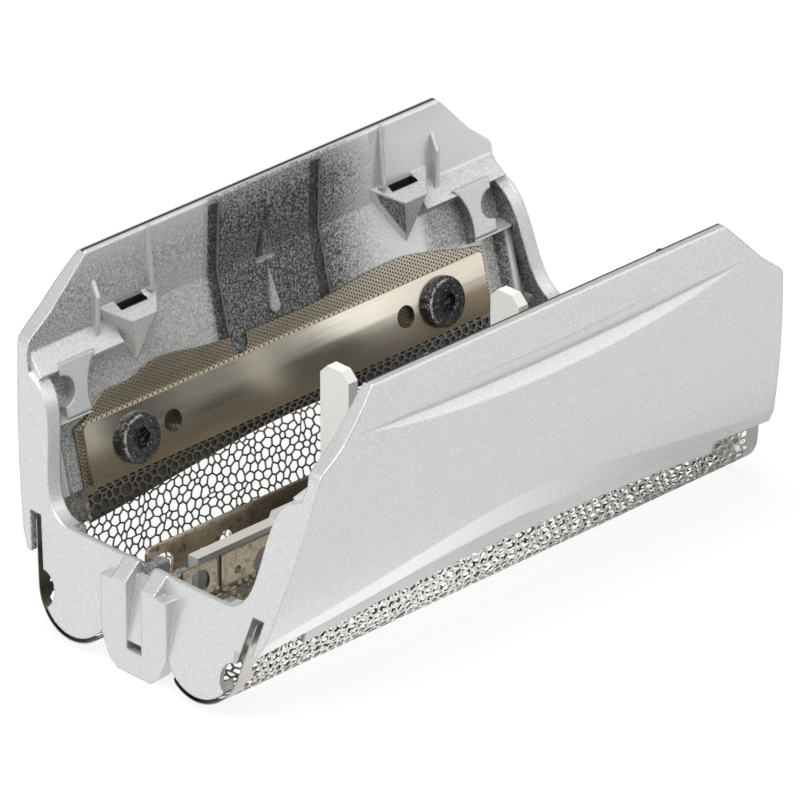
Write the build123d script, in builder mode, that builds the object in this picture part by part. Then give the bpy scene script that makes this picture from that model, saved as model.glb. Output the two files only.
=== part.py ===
"""Foil head of an electric shaver: a moulded frame with two perforated foils and a floating trimmer.

X runs along the head, Y across it and Z up, with the foils at the bottom.
The origin is the middle of the plane that the head rests on.
"""

import os
from math import cos, radians, sin, tan

from build123d import *

os.makedirs("parts", exist_ok=True)

# Foils, millimetres
foil_spread = 7.06  # middle of the head to each foil's axis
foil_radius = 4.45  # outside of the rolled part
foil_lift = 0.55  # lowest line of a foil above the resting plane
foil_thick = 0.15
foil_lean = 14.0  # degrees that the outer flank leans outwards
foil_flank_z = 17.0  # highest point of the outer flank
foil_inner_z = 5.6  # top of the inner flank
foil_step_z = 8.8  # above this the flank is shorter
foil_end_inset = 0.05  # foil's end inside the frame's end face
foil_inner_cut = 1.7  # the inner flank ends early up to this far from its face
flank_inset = 7.1  # end of the upper flank inside the frame's end
flank_edge = (  # sheared upper edge of the outer flank, along the head and up
    (-22.9, 14.3),
    (-21.2, 14.95),
    (-19.5, 16.05),
    (-16.7, 16.15),
    (-14.2, 16.8),
    (-9.0, 16.4),
    (-3.0, 15.95),
    (5.0, 15.9),
    (8.5, 16.2),
    (15.0, 16.25),
    (18.0, 15.6),
    (22.9, 14.5),
)
flank_notch_x = 4.45  # notch in the upper flank
flank_notch_half = 0.85
flank_notch_z = 14.4
hole_rows = 5
hole_columns = 16
hole_radius = 0.95
hole_pitch = 3.1
hole_first = -28.0  # degrees round the foil's axis, level outwards being zero
hole_last = -152.0
flank_hole_rows = ((0.25, 16), (2.55, 14))  # up the outer flank from the foil's axis, and columns

# Frame
end_reach = 30.0  # half length at the resting plane
end_slope = 0.19  # lean of the ends, inwards for each millimetre up
end_wall = 1.4
head_height = 28.2
top_cut = 10.45  # the top edge stops this far inside the end
corner_cut = 6.8
corner_drop = 3.8
shoulder_drop = 5.8
shoulder_round = 1.2
knee_z = 21.4  # where the long wall turns upright
belly_z = 14.0
wall_foot_z = 5.5
wall_gap = 0.1  # foil to wall
wall_low = 1.2
wall_belly = 1.5
wall_knee = 1.15
wall_top = 0.9
top_round = 0.25
wall_step_in = 0.19  # inner face, from the knee to the top edge
skirt_arch = ((0, 8.05), (7.0, 7.75), (14.3, 7.15))  # lower edge of the wall, along it and up
skirt_end_z = 6.1
skirt_fall = 0.05  # slope of the lower edge at its end
skirt_lip = 0.45
lip_end_z = 5.1  # lower edge of the front wall's thin lip at its ends
lip_rise = 1.2  # and how much higher it is in the middle
lip_root_z = 9.5
skirt_bevel = 60.0  # degrees
skirt_cut = 5.0  # reach of the cut that shapes the lower edge
crease_z = 23.45
crease_half = 18.7
crease_deep = 0.6
crease_rise = 1.0
crease_below = 0.85
crease_above = 1.6  # height of the round that rolls into the crease
crease_back = 0.1

# End walls
notch_z = 9.25  # flat bottom of the U notch
notch_half = 8.5
notch_top_z = 19.7
notch_top_gap = 0.4  # end of the notch's edge inside the long wall
notch_bend_rise = 4.0  # where the notch's side turns to follow the long wall
notch_bend_gap = 1.8
notch_flare = 0.3  # rise of the notch's edge for each millimetre outwards, at its top
lobe_gap = 0.25  # foil to lobe
lobe_cup_radius = 1.6
lobe_cup_y = 4.0  # from the lobe's axis
lobe_cup_drop = 1.5
lobe_web_y = 4.9  # where the lobe's edge turns up to the bump
lobe_web_z = 2.8
slot_inside = 0.65  # foil's slot, each side of the foil's outer face
slot_outside = 0.55
slot_top_gap = 0.5
lobe_skin = 0.45  # wall left outside the hollow of a lobe
lobe_rim = 0.85  # and round it
lobe_hollow_out = 1.2  # straight side of the hollow, outwards from the lobe's axis
bump_half = 3.7
bump_post_half = 2.45  # the bump is narrower above its shoulders
bump_shoulder_z = 7.8
bump_shoulder_deep = 2.0  # inward length of the cut above a shoulder
bump_inset = 0.35  # the bump's upright face inside the end's reach
bump_top_z = 8.0
bump_tip_z = 9.3
bump_tip_back = 1.45
bump_foot_half = 1.85
bump_foot_knee = 2.8
bump_foot_knee_z = 0.8
bump_foot_z = 2.75
groove_half = 0.85
groove_deep = 1.1
groove_floor_z = 2.1
groove_gate = 2.5  # inward length of the groove's gap in the wall's top
block_inset = 5.1  # inner face of the block behind the bump
block_gap = 0.15  # block to the comb's sides
block_top_z = 8.3
block_foot_z = 0.95

# Latch shapes inside the long walls
boss_inset = 14.9
boss_rise = 1.3  # top of the boss above the knee
boss_drop = 1.1
boss_reach = 2.1
boss_tall = 5.4
boss_half_back = 3.2
boss_half_front = 1.3
pocket_half = 1.45
pocket_deep = 0.85
pocket_above = 0.7
pocket_below = 1.4
shelf_start_inset = 13.1
shelf_end_inset = 0.3
shelf_drop = 1.6
shelf_reach = 1.2
shelf_thick = 1.0
lug_inset = 9.0  # outer edge of the lug's root
lug_wide = 3.0
lug_flare = 1.0  # the lug widens at its root
lug_waist = 0.3
lug_toe = 0.375
lug_top_z = 20.0
lug_foot_z = 15.6
lug_window = 1.3
foot_start_inset = 8.6  # small shelf at the lug's foot
foot_z = 16.0
foot_drop = 0.35
foot_reach = 1.3
foot_thick = 0.9
post_inset = 4.7
post_radius = 0.85
post_top_z = 15.2
post_foot_z = 9.6
rib_thick = 0.45
rib_out = 0.7
tall_rib_inset = 17.1
short_rib_inset = 11.1
short_rib_top_z = 25.5
short_rib_slope = 1.4  # height of the short rib's slanted top
channel_x = 5.65
channel_wide = 1.3
channel_deep = 0.35
channel_top_z = 27.6
channel_foot_z = 15.0
arrow_tip_z = 26.3
arrow_foot_z = 20.7
arrow_half = 1.05
arrow_deep = 0.6
pip_foot_z = 16.9
pip_tip_z = 20.0
pip_radius = 0.5
pip_out = 0.3
root_sink = 0.4  # how far an added shape is rooted in the wall

# Clamp strips and their rivets
strip_thick = 0.4
strip_low_z = 9.2
strip_top_z = 14.3
strip_margin = 0.6
strip_round = 0.5
strip_hole_radius = 0.95
strip_hole_step = 4.05  # rivet to locating hole
rivet_inset = 5.2
rivet_z = 11.77
rivet_head_radius = 2.15
rivet_head_high = 0.75
rivet_head_round = 0.35
rivet_shank_radius = 1.0
rivet_shank_gap = 0.05
rivet_bite = 0.9
rivet_recess_radius = 0.95
rivet_recess_deep = 0.3

# Trimmer
comb_gap = 0.4  # comb to the foils
comb_wall = 0.3
comb_foot_z = 1.3
comb_top_z = 9.2
comb_front_z = 8.75  # top of the front side
comb_ear_long = 1.7  # the sides reach past the floor, beside the frame's blocks
comb_ear_z = 6.6
comb_ear_round = 0.6
comb_end_gap = 0.3
comb_teeth = 24
comb_slot = 0.6
comb_pitch = 1.9
comb_slot_high = 1.5
comb_side_slot_inset = 2.2
comb_side_slot = 0.5
comb_side_slot_z = 5.7
comb_small_hole = 0.35
comb_small_hole_inset = 4.2
comb_oval_inset = 6.7
comb_oval_radius = 0.6
comb_oval_long = 2.0
comb_oval_turn = -60.0  # degrees
comb_hole_z = 6.9
comb_window_half = 15.6
comb_window_z = 5.4
comb_arch_radius = 1.15
comb_arch_z = 7.2
blade_gap = 0.12  # blade to comb
blade_wall = 0.3
blade_top_z = 5.4
stroke = 1.0  # blade travel each way
blade_end_gap = 0.25
blade_teeth = 19
blade_slot_high = 1.1
guide_long = 1.2
guide_top_z = 4.6
tongue_half = 0.65
tongue_long = 1.9
tongue_gap = 0.15
rail_half = 0.55
rail_foot_z = 4.95
rail_top_z = 8.2
hub_half = 14.0
hub_ramp = 1.9
hub_front = 2.3  # the hub's overhang towards the front
hub_back = 0.6
hub_floor_z = 8.2
hub_top_z = 8.7
prong_x = 9.5
prong_thick = 1.0
prong_front = 4.1
prong_back = 0.9
prong_step_z = 9.6
prong_top_z = 21.0
prong_cut = 0.8

# Values that follow from the driving dimensions
lean = radians(foil_lean)
foil_axis_z = foil_lift + foil_radius
flank_half = end_reach - flank_inset
block_face = end_reach - block_inset
comb_half_wide = foil_spread - foil_radius - comb_gap
comb_half_long = block_face - comb_end_gap
comb_inside = comb_half_wide - comb_wall
block_half = comb_inside - block_gap
strip_half = flank_half - strip_margin
rivet_x = strip_half - rivet_inset
lobe_radius = foil_radius - foil_thick - lobe_gap


def flank_y(height, offset=0.0):
    """Y of a sheet parallel to the foil's outer flank, moved outwards by an offset, at a height."""
    return foil_spread + (foil_radius + offset) / cos(lean) + (height - foil_axis_z) * tan(lean)


def flank_plane(offset=0.0):
    """Plane of such a sheet, facing inwards, with its own Y going up the slope from the foil's axis."""
    outwards = Vector(0, cos(lean), -sin(lean))
    start = Vector(0, flank_y(foil_axis_z), foil_axis_z)
    return Plane(origin=start + outwards * offset, x_dir=(1, 0, 0), z_dir=-outwards)


def up_slope(height):
    """Distance up the slope of the flank at which a height is reached."""
    return (height - foil_axis_z) / cos(lean)


def inner_y(height):
    """Y of the long wall's inner face at a height."""
    if height <= knee_z:
        return flank_y(height, wall_gap)
    share = (height - knee_z) / (head_height - knee_z)
    return flank_y(knee_z, wall_gap) - wall_step_in * share


def end_plane(inset=0.0, side=1):
    """Plane of the end face at +X or -X, moved inwards along X, facing outwards."""
    return Plane(origin=(side * (end_reach - inset), 0, 0), x_dir=(0, 1, 0), z_dir=(side, 0, end_slope))


def end_x(height, inset=0.0):
    """X of the end face at a height."""
    return end_reach - inset - end_slope * height


# Places of the long wall's crease and lower edge
crease_y = flank_y(knee_z, wall_gap) + wall_knee
crease_move = (crease_deep**2 + crease_rise**2) ** 0.5
crease_swing = crease_half**2 / (2 * crease_move)
crease_bend = (crease_deep / crease_move, crease_rise / crease_move)
skirt_mid_z = skirt_arch[0][1]
skirt_edge_y = flank_y(skirt_mid_z, wall_gap) + skirt_lip

# Arrow-shaped recess, deepest and widest at its foot
with BuildPart() as arrow_recess:
    with BuildSketch(Plane.YZ):
        with BuildLine():
            Polyline(
                (inner_y(arrow_tip_z), arrow_tip_z),
                (inner_y(knee_z), knee_z),
                (inner_y(arrow_foot_z), arrow_foot_z),
                (inner_y(arrow_foot_z) + arrow_deep, arrow_foot_z),
                close=True,
            )
        make_face()
    extrude(amount=arrow_half, both=True)
    with BuildSketch(Plane.XZ):
        with BuildLine():
            Polyline(
                (-arrow_half, arrow_foot_z),
                (0, arrow_tip_z),
                (arrow_half, arrow_foot_z),
                close=True,
            )
        make_face()
    extrude(amount=head_height, both=True, mode=Mode.INTERSECT)

# Thin lip under the front wall's bevel, between the foil's slots
with BuildPart() as wall_lip:
    with BuildSketch(Plane.YZ):
        with BuildLine():
            Polyline(
                (inner_y(lip_end_z), lip_end_z),
                (inner_y(lip_root_z), lip_root_z),
                (inner_y(lip_root_z) + skirt_lip, lip_root_z),
                (inner_y(lip_end_z) + skirt_lip, lip_end_z),
                close=True,
            )
        make_face()
    extrude(amount=flank_half, both=True)
    with BuildSketch(Plane.XZ):
        with BuildLine():
            arch = ThreePointArc((-flank_half, lip_end_z), (0, lip_end_z + lip_rise), (flank_half, lip_end_z))
            Line(arch @ 1, arch @ 0)
        make_face()
    extrude(amount=-end_reach, mode=Mode.SUBTRACT)

# Long wall, the half at +X
with BuildPart() as long_wall:
    with BuildSketch(Plane.YZ) as wall_profile:
        with BuildLine():
            inside = Polyline(
                (inner_y(wall_foot_z), wall_foot_z),
                (inner_y(knee_z), knee_z),
                (inner_y(head_height), head_height),
            )
            top_edge = Line(inside @ 1, (inner_y(head_height) + wall_top, head_height))
            belly = ThreePointArc(
                (inner_y(wall_foot_z) + wall_low, wall_foot_z),
                (inner_y(belly_z) + wall_belly, belly_z),
                (inner_y(knee_z) + wall_knee, knee_z),
            )
            TangentArc(belly @ 1, top_edge @ 1, tangent=belly % 1)
            Line(belly @ 0, inside @ 0)
        make_face()
        fillet(wall_profile.vertices().group_by(Axis.Y)[-1], top_round)
    extrude(amount=end_reach)
    # Side view: cut corner, shoulder and leaning end
    with BuildSketch(Plane.XZ) as side_view:
        with BuildLine():
            Polyline(
                (0, 0),
                (end_reach, 0),
                (end_x(head_height - shoulder_drop), head_height - shoulder_drop),
                (end_reach - corner_cut, head_height - corner_drop),
                (end_reach - top_cut, head_height),
                (0, head_height),
                close=True,
            )
        make_face()
        fillet(side_view.vertices().sort_by(Axis.Y)[2], shoulder_round)
    extrude(amount=end_reach, both=True, mode=Mode.INTERSECT)
    # Lower edge: a long arch with a bevel on its outside
    with BuildLine(Plane.XZ):
        Spline(*skirt_arch, (end_reach, skirt_end_z), tangents=((1, 0), (1, -skirt_fall)))
    with BuildSketch(Plane.YZ):
        with BuildLine():
            Polyline(
                (skirt_edge_y - skirt_cut, skirt_mid_z - skirt_cut),
                (skirt_edge_y - skirt_cut, skirt_mid_z),
                (skirt_edge_y, skirt_mid_z),
                (skirt_edge_y + skirt_cut, skirt_mid_z + skirt_cut * tan(radians(skirt_bevel))),
                (skirt_edge_y + skirt_cut, skirt_mid_z - skirt_cut),
                close=True,
            )
        make_face()
    sweep(mode=Mode.SUBTRACT)
    # Long lens-shaped crease under the top edge
    with BuildSketch(Plane.YZ):
        with BuildLine():
            roll = TangentArc(
                (crease_y - crease_back, crease_z + crease_above),
                (crease_y - crease_deep, crease_z),
                tangent=(0, -1),
            )
            Polyline(
                roll @ 1,
                (crease_y, crease_z - crease_below),
                (crease_y + crease_deep, crease_z - 2 * crease_below),
                (crease_y + crease_deep, crease_z + crease_above),
                roll @ 0,
            )
        make_face()
    revolve(
        axis=Axis(
            (
                0,
                crease_y - crease_deep + crease_swing * crease_bend[0],
                crease_z + crease_swing * crease_bend[1],
            ),
            (0, -crease_bend[1], crease_bend[0]),
        ),
        mode=Mode.SUBTRACT,
    )
    # Upright channel on the inside
    with BuildSketch(Plane.YZ.offset(channel_x)):
        with BuildLine():
            Polyline(
                (inner_y(channel_foot_z), channel_foot_z),
                (inner_y(knee_z), knee_z),
                (inner_y(channel_top_z), channel_top_z),
                (inner_y(channel_top_z) + channel_deep, channel_top_z),
                (inner_y(knee_z) + channel_deep, knee_z),
                (inner_y(channel_foot_z) + channel_deep, channel_foot_z),
                close=True,
            )
        make_face()
    extrude(amount=channel_wide / 2, both=True, mode=Mode.SUBTRACT)
    add(arrow_recess.part, mode=Mode.SUBTRACT)

# Latch boss: an inverted pyramid with a pocket in its sloping top
boss_x = end_reach - boss_inset
boss_top_z = knee_z + boss_rise
boss_front_z = boss_top_z - boss_drop
boss_front_y = inner_y(boss_front_z) - boss_reach
boss_apex_z = boss_top_z - boss_tall

with BuildPart() as latch_boss:
    with BuildSketch(Plane.YZ.offset(boss_x)):
        with BuildLine():
            Polyline(
                (inner_y(boss_top_z) + root_sink, boss_top_z),
                (inner_y(boss_top_z), boss_top_z),
                (boss_front_y, boss_front_z),
                (inner_y(boss_apex_z), boss_apex_z),
                (inner_y(boss_apex_z) + root_sink, boss_apex_z),
                close=True,
            )
        make_face()
    extrude(amount=boss_half_back, both=True)
    for side in (-1, 1):
        back = Vector(boss_x + side * boss_half_back, inner_y(boss_top_z), boss_top_z)
        front = Vector(boss_x + side * boss_half_front, boss_front_y, boss_front_z)
        apex = Vector(boss_x, inner_y(boss_apex_z), boss_apex_z)
        facing = (front - back).cross(apex - back) * side
        split(bisect_by=Plane(origin=back, x_dir=front - back, z_dir=facing), keep=Keep.BOTTOM)
    with Locations((boss_x, inner_y(boss_top_z), boss_top_z + pocket_above)):
        Box(
            2 * pocket_half,
            pocket_deep,
            pocket_above + pocket_below,
            align=(Align.CENTER, Align.MAX, Align.MAX),
            mode=Mode.SUBTRACT,
        )

# Shelf, lug, post and ribs beside the boss
shelf_start = end_reach - shelf_start_inset
shelf_front_z = knee_z - shelf_drop
lug_x = end_reach - lug_inset
lug_mid_z = (lug_top_z + lug_foot_z) / 2
post_x = end_reach - post_inset

with BuildPart() as latch_shapes:
    with BuildSketch(Plane.YZ.offset(shelf_start)):
        with BuildLine():
            Polyline(
                (inner_y(knee_z) + root_sink, knee_z),
                (inner_y(knee_z), knee_z),
                (inner_y(shelf_front_z) - shelf_reach, shelf_front_z),
                (inner_y(shelf_front_z - shelf_thick), shelf_front_z - shelf_thick),
                (inner_y(shelf_front_z - shelf_thick) + root_sink, shelf_front_z - shelf_thick),
                close=True,
            )
        make_face()
    extrude(amount=end_reach - shelf_start)
    # Lug under the shelf, with its window
    with BuildSketch(flank_plane(wall_gap + root_sink)):
        with BuildLine():
            lug_side = ThreePointArc(
                (lug_x - lug_flare, up_slope(lug_top_z)),
                (lug_x + lug_waist, up_slope(lug_mid_z)),
                (lug_x + lug_toe, up_slope(lug_foot_z)),
            )
            Polyline(
                lug_side @ 1,
                (lug_x + lug_wide, up_slope(lug_foot_z)),
                (lug_x + lug_wide, up_slope(lug_top_z)),
                lug_side @ 0,
            )
        make_face()
        with Locations((lug_x + lug_wide, up_slope(lug_mid_z))):
            Circle(lug_window, mode=Mode.SUBTRACT)
    extrude(amount=root_sink + shelf_reach * cos(lean))
    # Small shelf at the lug's foot
    with BuildSketch(Plane.YZ.offset(end_reach - foot_start_inset)):
        with BuildLine():
            Polyline(
                (inner_y(foot_z) + root_sink, foot_z),
                (inner_y(foot_z), foot_z),
                (inner_y(foot_z - foot_drop) - foot_reach, foot_z - foot_drop),
                (inner_y(foot_z - foot_thick), foot_z - foot_thick),
                (inner_y(foot_z - foot_thick) + root_sink, foot_z - foot_thick),
                close=True,
            )
        make_face()
    extrude(amount=foot_start_inset)
    # Half-round post by the end wall
    post_plane = Plane(
        origin=(post_x, inner_y(post_foot_z), post_foot_z), x_dir=(1, 0, 0), z_dir=(0, sin(lean), cos(lean))
    )
    with BuildSketch(post_plane):
        Circle(post_radius)
    extrude(amount=up_slope(post_top_z) - up_slope(post_foot_z))
    # Teardrop pip under the arrow
    with BuildSketch(flank_plane(wall_gap + root_sink)):
        with Locations((0, up_slope(pip_foot_z))):
            Circle(pip_radius)
        with BuildLine():
            Polyline(
                (-pip_radius, up_slope(pip_foot_z)),
                (pip_radius, up_slope(pip_foot_z)),
                (0, up_slope(pip_tip_z)),
                close=True,
            )
        make_face()
    extrude(amount=root_sink + pip_out)
    # Tall rib up to the top edge and short rib that stands on the shelf
    with BuildSketch(Plane.YZ.offset(end_reach - tall_rib_inset)):
        with BuildLine():
            Polyline(
                (inner_y(head_height) + root_sink, head_height),
                (inner_y(head_height), head_height),
                (inner_y(boss_top_z) - rib_out, boss_top_z),
                (inner_y(boss_top_z) + root_sink, boss_top_z),
                close=True,
            )
        make_face()
    extrude(amount=rib_thick / 2, both=True)
    with BuildSketch(Plane.YZ.offset(end_reach - short_rib_inset)):
        with BuildLine():
            Polyline(
                (inner_y(short_rib_top_z) + root_sink, short_rib_top_z),
                (inner_y(short_rib_top_z), short_rib_top_z),
                (inner_y(short_rib_top_z) - rib_out, short_rib_top_z - short_rib_slope),
                (inner_y(knee_z) - rib_out, knee_z - rib_out),
                (inner_y(knee_z) + root_sink, knee_z - rib_out),
                close=True,
            )
        make_face()
    extrude(amount=rib_thick / 2, both=True)
    split(bisect_by=end_plane(shelf_end_inset), keep=Keep.BOTTOM)

# End wall, the half at +Y: U notch above, lobe and foil slot below
slot_top_z = foil_step_z + slot_top_gap
notch_top_y = inner_y(notch_top_z) - notch_top_gap
notch_bend_z = notch_z + notch_bend_rise
slab_start = end_x(head_height, end_wall) - end_wall

with BuildPart() as lobe_hollow:
    with BuildSketch(Plane.YZ.offset(slab_start)):
        with Locations((foil_spread, foil_axis_z)):
            Circle(lobe_radius - lobe_rim)
        with Locations((foil_spread + lobe_hollow_out, foil_axis_z)):
            Rectangle(
                lobe_radius - lobe_rim + lobe_hollow_out,
                notch_z,
                align=(Align.MAX, Align.MIN),
            )
        with Locations((0, block_top_z)):
            Rectangle(foil_spread, notch_z, align=(Align.MIN, Align.MIN))
    extrude(amount=end_reach - slab_start)
    split(bisect_by=end_plane(lobe_skin), keep=Keep.BOTTOM)

with BuildPart() as end_half:
    with BuildSketch(Plane.YZ.offset(slab_start)):
        with BuildLine():
            floor = Line((0, notch_z), (notch_half, notch_z))
            rise = Spline(
                floor @ 1,
                (inner_y(notch_bend_z) - notch_bend_gap, notch_bend_z),
                (notch_top_y, notch_top_z),
                tangents=((1, 0), (1, notch_flare)),
            )
            Polyline(
                rise @ 1,
                (inner_y(notch_top_z) + root_sink, notch_top_z + root_sink),
                (inner_y(foil_axis_z) + root_sink, foil_axis_z),
                (foil_spread, foil_axis_z),
                (lobe_web_y, lobe_web_z),
                (0, lobe_web_z),
                (0, notch_z),
            )
        make_face()
        with BuildLine():
            Polyline(
                (bump_half, lobe_web_z),
                (lobe_web_y, foil_axis_z - (lobe_radius**2 - (foil_spread - lobe_web_y) ** 2) ** 0.5),
                (foil_spread, foil_axis_z),
                (bump_half, foil_axis_z),
                close=True,
            )
        make_face()
        with Locations((foil_spread, foil_axis_z)):
            Circle(lobe_radius)
        with Locations((foil_spread, foil_axis_z)):
            Rectangle(lobe_radius, lobe_radius, align=(Align.MAX, Align.MIN))
        with Locations((foil_spread + lobe_cup_y, foil_axis_z - lobe_cup_drop)):
            Circle(lobe_cup_radius, mode=Mode.SUBTRACT)
    extrude(amount=end_reach - slab_start)
    split(bisect_by=end_plane(), keep=Keep.BOTTOM)
    split(bisect_by=end_plane(end_wall), keep=Keep.TOP)
    add(lobe_hollow.part, mode=Mode.SUBTRACT)

# Bump in the middle of the end, with the block behind it
bump_face = end_reach - bump_inset

with BuildPart() as bump:
    with BuildSketch(Plane.YZ.offset(block_face)):
        with BuildLine():
            Polyline(
                (0, 0),
                (bump_foot_half, 0),
                (bump_foot_knee, bump_foot_knee_z),
                (bump_half, bump_foot_z),
                (bump_half, bump_tip_z),
                (0, bump_tip_z),
                close=True,
            )
        make_face()
    extrude(amount=bump_face - block_face)
    with BuildSketch(Plane.XZ):
        with BuildLine():
            Polyline(
                (block_face, 0),
                (bump_face, 0),
                (bump_face, bump_top_z),
                (bump_face - bump_tip_back, bump_tip_z),
                (block_face, bump_tip_z),
                close=True,
            )
        make_face()
    extrude(amount=bump_half, both=True, mode=Mode.INTERSECT)
    split(bisect_by=end_plane(end_wall), keep=Keep.TOP)
    add(lobe_hollow.part, mode=Mode.SUBTRACT)
    with Locations((bump_face, bump_post_half, bump_shoulder_z)):
        Box(
            2 * bump_shoulder_deep,
            bump_half,
            head_height,
            align=(Align.CENTER, Align.MIN, Align.MIN),
            mode=Mode.SUBTRACT,
        )
    # Block between the comb's sides
    with BuildSketch(Plane.YZ.offset(block_face)):
        with Locations((0, block_foot_z)):
            Rectangle(block_half, block_top_z - block_foot_z, align=(Align.MIN, Align.MIN))
    extrude(amount=end_x(block_top_z, end_wall / 2) - block_face)
    # Groove in the bump's face, open at the top, and the trimmer's groove in the block
    with Locations((bump_face, 0, groove_floor_z)):
        Box(
            2 * groove_deep,
            2 * groove_half,
            head_height,
            align=(Align.CENTER, Align.CENTER, Align.MIN),
            mode=Mode.SUBTRACT,
        )
    with Locations((block_face, 0, comb_foot_z + comb_wall)):
        Box(
            2 * (tongue_long + tongue_gap - comb_end_gap),
            2 * (tongue_half + tongue_gap),
            head_height,
            align=(Align.CENTER, Align.CENTER, Align.MIN),
            mode=Mode.SUBTRACT,
        )

# Frame: the four quarters as one moulding
with BuildPart() as frame:
    add(long_wall.part)
    add(latch_boss.part)
    add(latch_shapes.part)
    add(end_half.part)
    # Slot that lets the foil's outer flank pass between lobe and wall
    with BuildSketch(Plane.YZ.offset(flank_half)):
        with BuildLine():
            Polyline(
                (flank_y(0, -slot_inside), 0),
                (flank_y(slot_top_z, -slot_inside), slot_top_z),
                (flank_y(slot_top_z, slot_outside), slot_top_z),
                (flank_y(0, slot_outside), 0),
                close=True,
            )
        make_face()
    extrude(amount=end_reach - flank_half, mode=Mode.SUBTRACT)
    add(bump.part)
    with Locations((bump_face, 0, block_top_z)):
        Box(
            2 * groove_gate,
            2 * groove_half,
            head_height,
            align=(Align.CENTER, Align.CENTER, Align.MIN),
            mode=Mode.SUBTRACT,
        )
    with BuildSketch(flank_plane(wall_gap)):
        with Locations((rivet_x, up_slope(rivet_z))):
            Circle(rivet_shank_radius + rivet_shank_gap)
    extrude(amount=-(rivet_bite + rivet_shank_gap), mode=Mode.SUBTRACT)
    mirror(about=Plane.YZ)
    mirror(about=Plane.XZ)
    mirror(wall_lip.part, about=Plane.XZ)
frame.part.label = "frame"
export_step(frame.part, "parts/frame.step")

# Rear foil: one sheet, rolled at the bottom, with its long flank against the wall
with BuildPart() as rear_foil:
    with BuildSketch(Plane.YZ):
        with BuildLine():
            for radius in (foil_radius, foil_radius - foil_thick):
                Line((foil_spread - radius, foil_inner_z), (foil_spread - radius, foil_axis_z))
                CenterArc((foil_spread, foil_axis_z), radius, 180, 180 - foil_lean)
                Line(
                    (foil_spread + radius * cos(lean), foil_axis_z - radius * sin(lean)),
                    (flank_y(foil_flank_z, radius - foil_radius), foil_flank_z),
                )
            Line(
                (foil_spread - foil_radius, foil_inner_z),
                (foil_spread - foil_radius + foil_thick, foil_inner_z),
            )
            Line((flank_y(foil_flank_z, -foil_thick), foil_flank_z), (flank_y(foil_flank_z), foil_flank_z))
        make_face()
    extrude(amount=end_reach, both=True)
    # Inner flank stops at the end walls, upper outer flank is shorter
    for side in (-1, 1):
        split(bisect_by=end_plane(foil_end_inset, side), keep=Keep.BOTTOM)
        with BuildSketch(Plane.XZ):
            with BuildLine():
                Polyline(
                    (side * end_x(0, end_wall + comb_end_gap), 0),
                    (side * end_x(foil_inner_z, end_wall + comb_end_gap), foil_inner_z),
                    (side * end_reach, foil_inner_z),
                    (side * end_reach, 0),
                    close=True,
                )
            make_face()
        extrude(amount=-(foil_spread - foil_radius + foil_inner_cut), mode=Mode.SUBTRACT)
        with BuildSketch(Plane.XZ):
            with BuildLine():
                Polyline(
                    (side * flank_half, foil_step_z),
                    (side * flank_half, foil_flank_z),
                    (side * end_reach, foil_flank_z),
                    (side * end_reach, foil_step_z),
                    close=True,
                )
            make_face()
        extrude(amount=-2 * foil_flank_z, mode=Mode.SUBTRACT)
    # Upper edge as it was sheared
    with BuildSketch(Plane.XZ):
        with BuildLine():
            shear = Spline(*flank_edge)
            Polyline(shear @ 1, (flank_half, foil_flank_z), (-flank_half, foil_flank_z), shear @ 0)
        make_face()
    extrude(amount=-2 * foil_flank_z, mode=Mode.SUBTRACT)
    with BuildSketch(flank_plane(foil_thick)):
        with Locations((-flank_notch_x, up_slope(flank_notch_z + flank_notch_half))):
            Circle(flank_notch_half)
            Rectangle(2 * flank_notch_half, foil_flank_z, align=(Align.CENTER, Align.MIN))
        with Locations((-rivet_x, up_slope(rivet_z)), (rivet_x, up_slope(rivet_z))):
            Circle(rivet_shank_radius + rivet_shank_gap)
    extrude(amount=3 * foil_thick, mode=Mode.SUBTRACT)
    # Openings of the rolled part, in staggered rows round its axis
    for row in range(hole_rows):
        turn = radians(hole_first + (hole_last - hole_first) * row / (hole_rows - 1))
        stagger = hole_pitch / 2 * (row % 2 - 0.5)
        ring = Plane(
            origin=(stagger, foil_spread, foil_axis_z), x_dir=(1, 0, 0), z_dir=(0, cos(turn), sin(turn))
        )
        with BuildSketch(ring):
            with GridLocations(hole_pitch, 1, hole_columns, 1):
                RegularPolygon(hole_radius, 6)
        extrude(amount=foil_radius + foil_thick, mode=Mode.SUBTRACT)
    # and up the foot of the outer flank
    with BuildSketch(flank_plane(foil_thick)):
        for row, (rise, columns) in enumerate(flank_hole_rows):
            with Locations((hole_pitch / 2 * (0.5 - row % 2), rise)):
                with GridLocations(hole_pitch, 1, columns, 1):
                    RegularPolygon(hole_radius, 6)
    extrude(amount=3 * foil_thick, mode=Mode.SUBTRACT)
rear_foil.part.label = "rear_foil"
export_step(rear_foil.part, "parts/rear_foil.step")

# Front foil: the same sheet, turned half round
with BuildPart() as front_foil:
    add(rear_foil.part.rotate(Axis.Z, 180))
front_foil.part.label = "front_foil"
export_step(front_foil.part, "parts/front_foil.step")

# Clamp strips
strip_rise = up_slope(strip_top_z) - up_slope(strip_low_z)

with BuildPart() as rear_clamp_strip:
    with BuildSketch(flank_plane(-foil_thick)):
        with Locations((0, up_slope(strip_low_z))):
            RectangleRounded(2 * strip_half, strip_rise, strip_round, align=(Align.CENTER, Align.MIN))
        with Locations((-rivet_x, up_slope(rivet_z)), (rivet_x, up_slope(rivet_z))):
            Circle(rivet_shank_radius + rivet_shank_gap, mode=Mode.SUBTRACT)
        hole_x = rivet_x - strip_hole_step
        with Locations((-hole_x, up_slope(rivet_z)), (hole_x, up_slope(rivet_z))):
            Circle(strip_hole_radius, mode=Mode.SUBTRACT)
    extrude(amount=strip_thick)
rear_clamp_strip.part.label = "rear_clamp_strip"
export_step(rear_clamp_strip.part, "parts/rear_clamp_strip.step")

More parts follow.
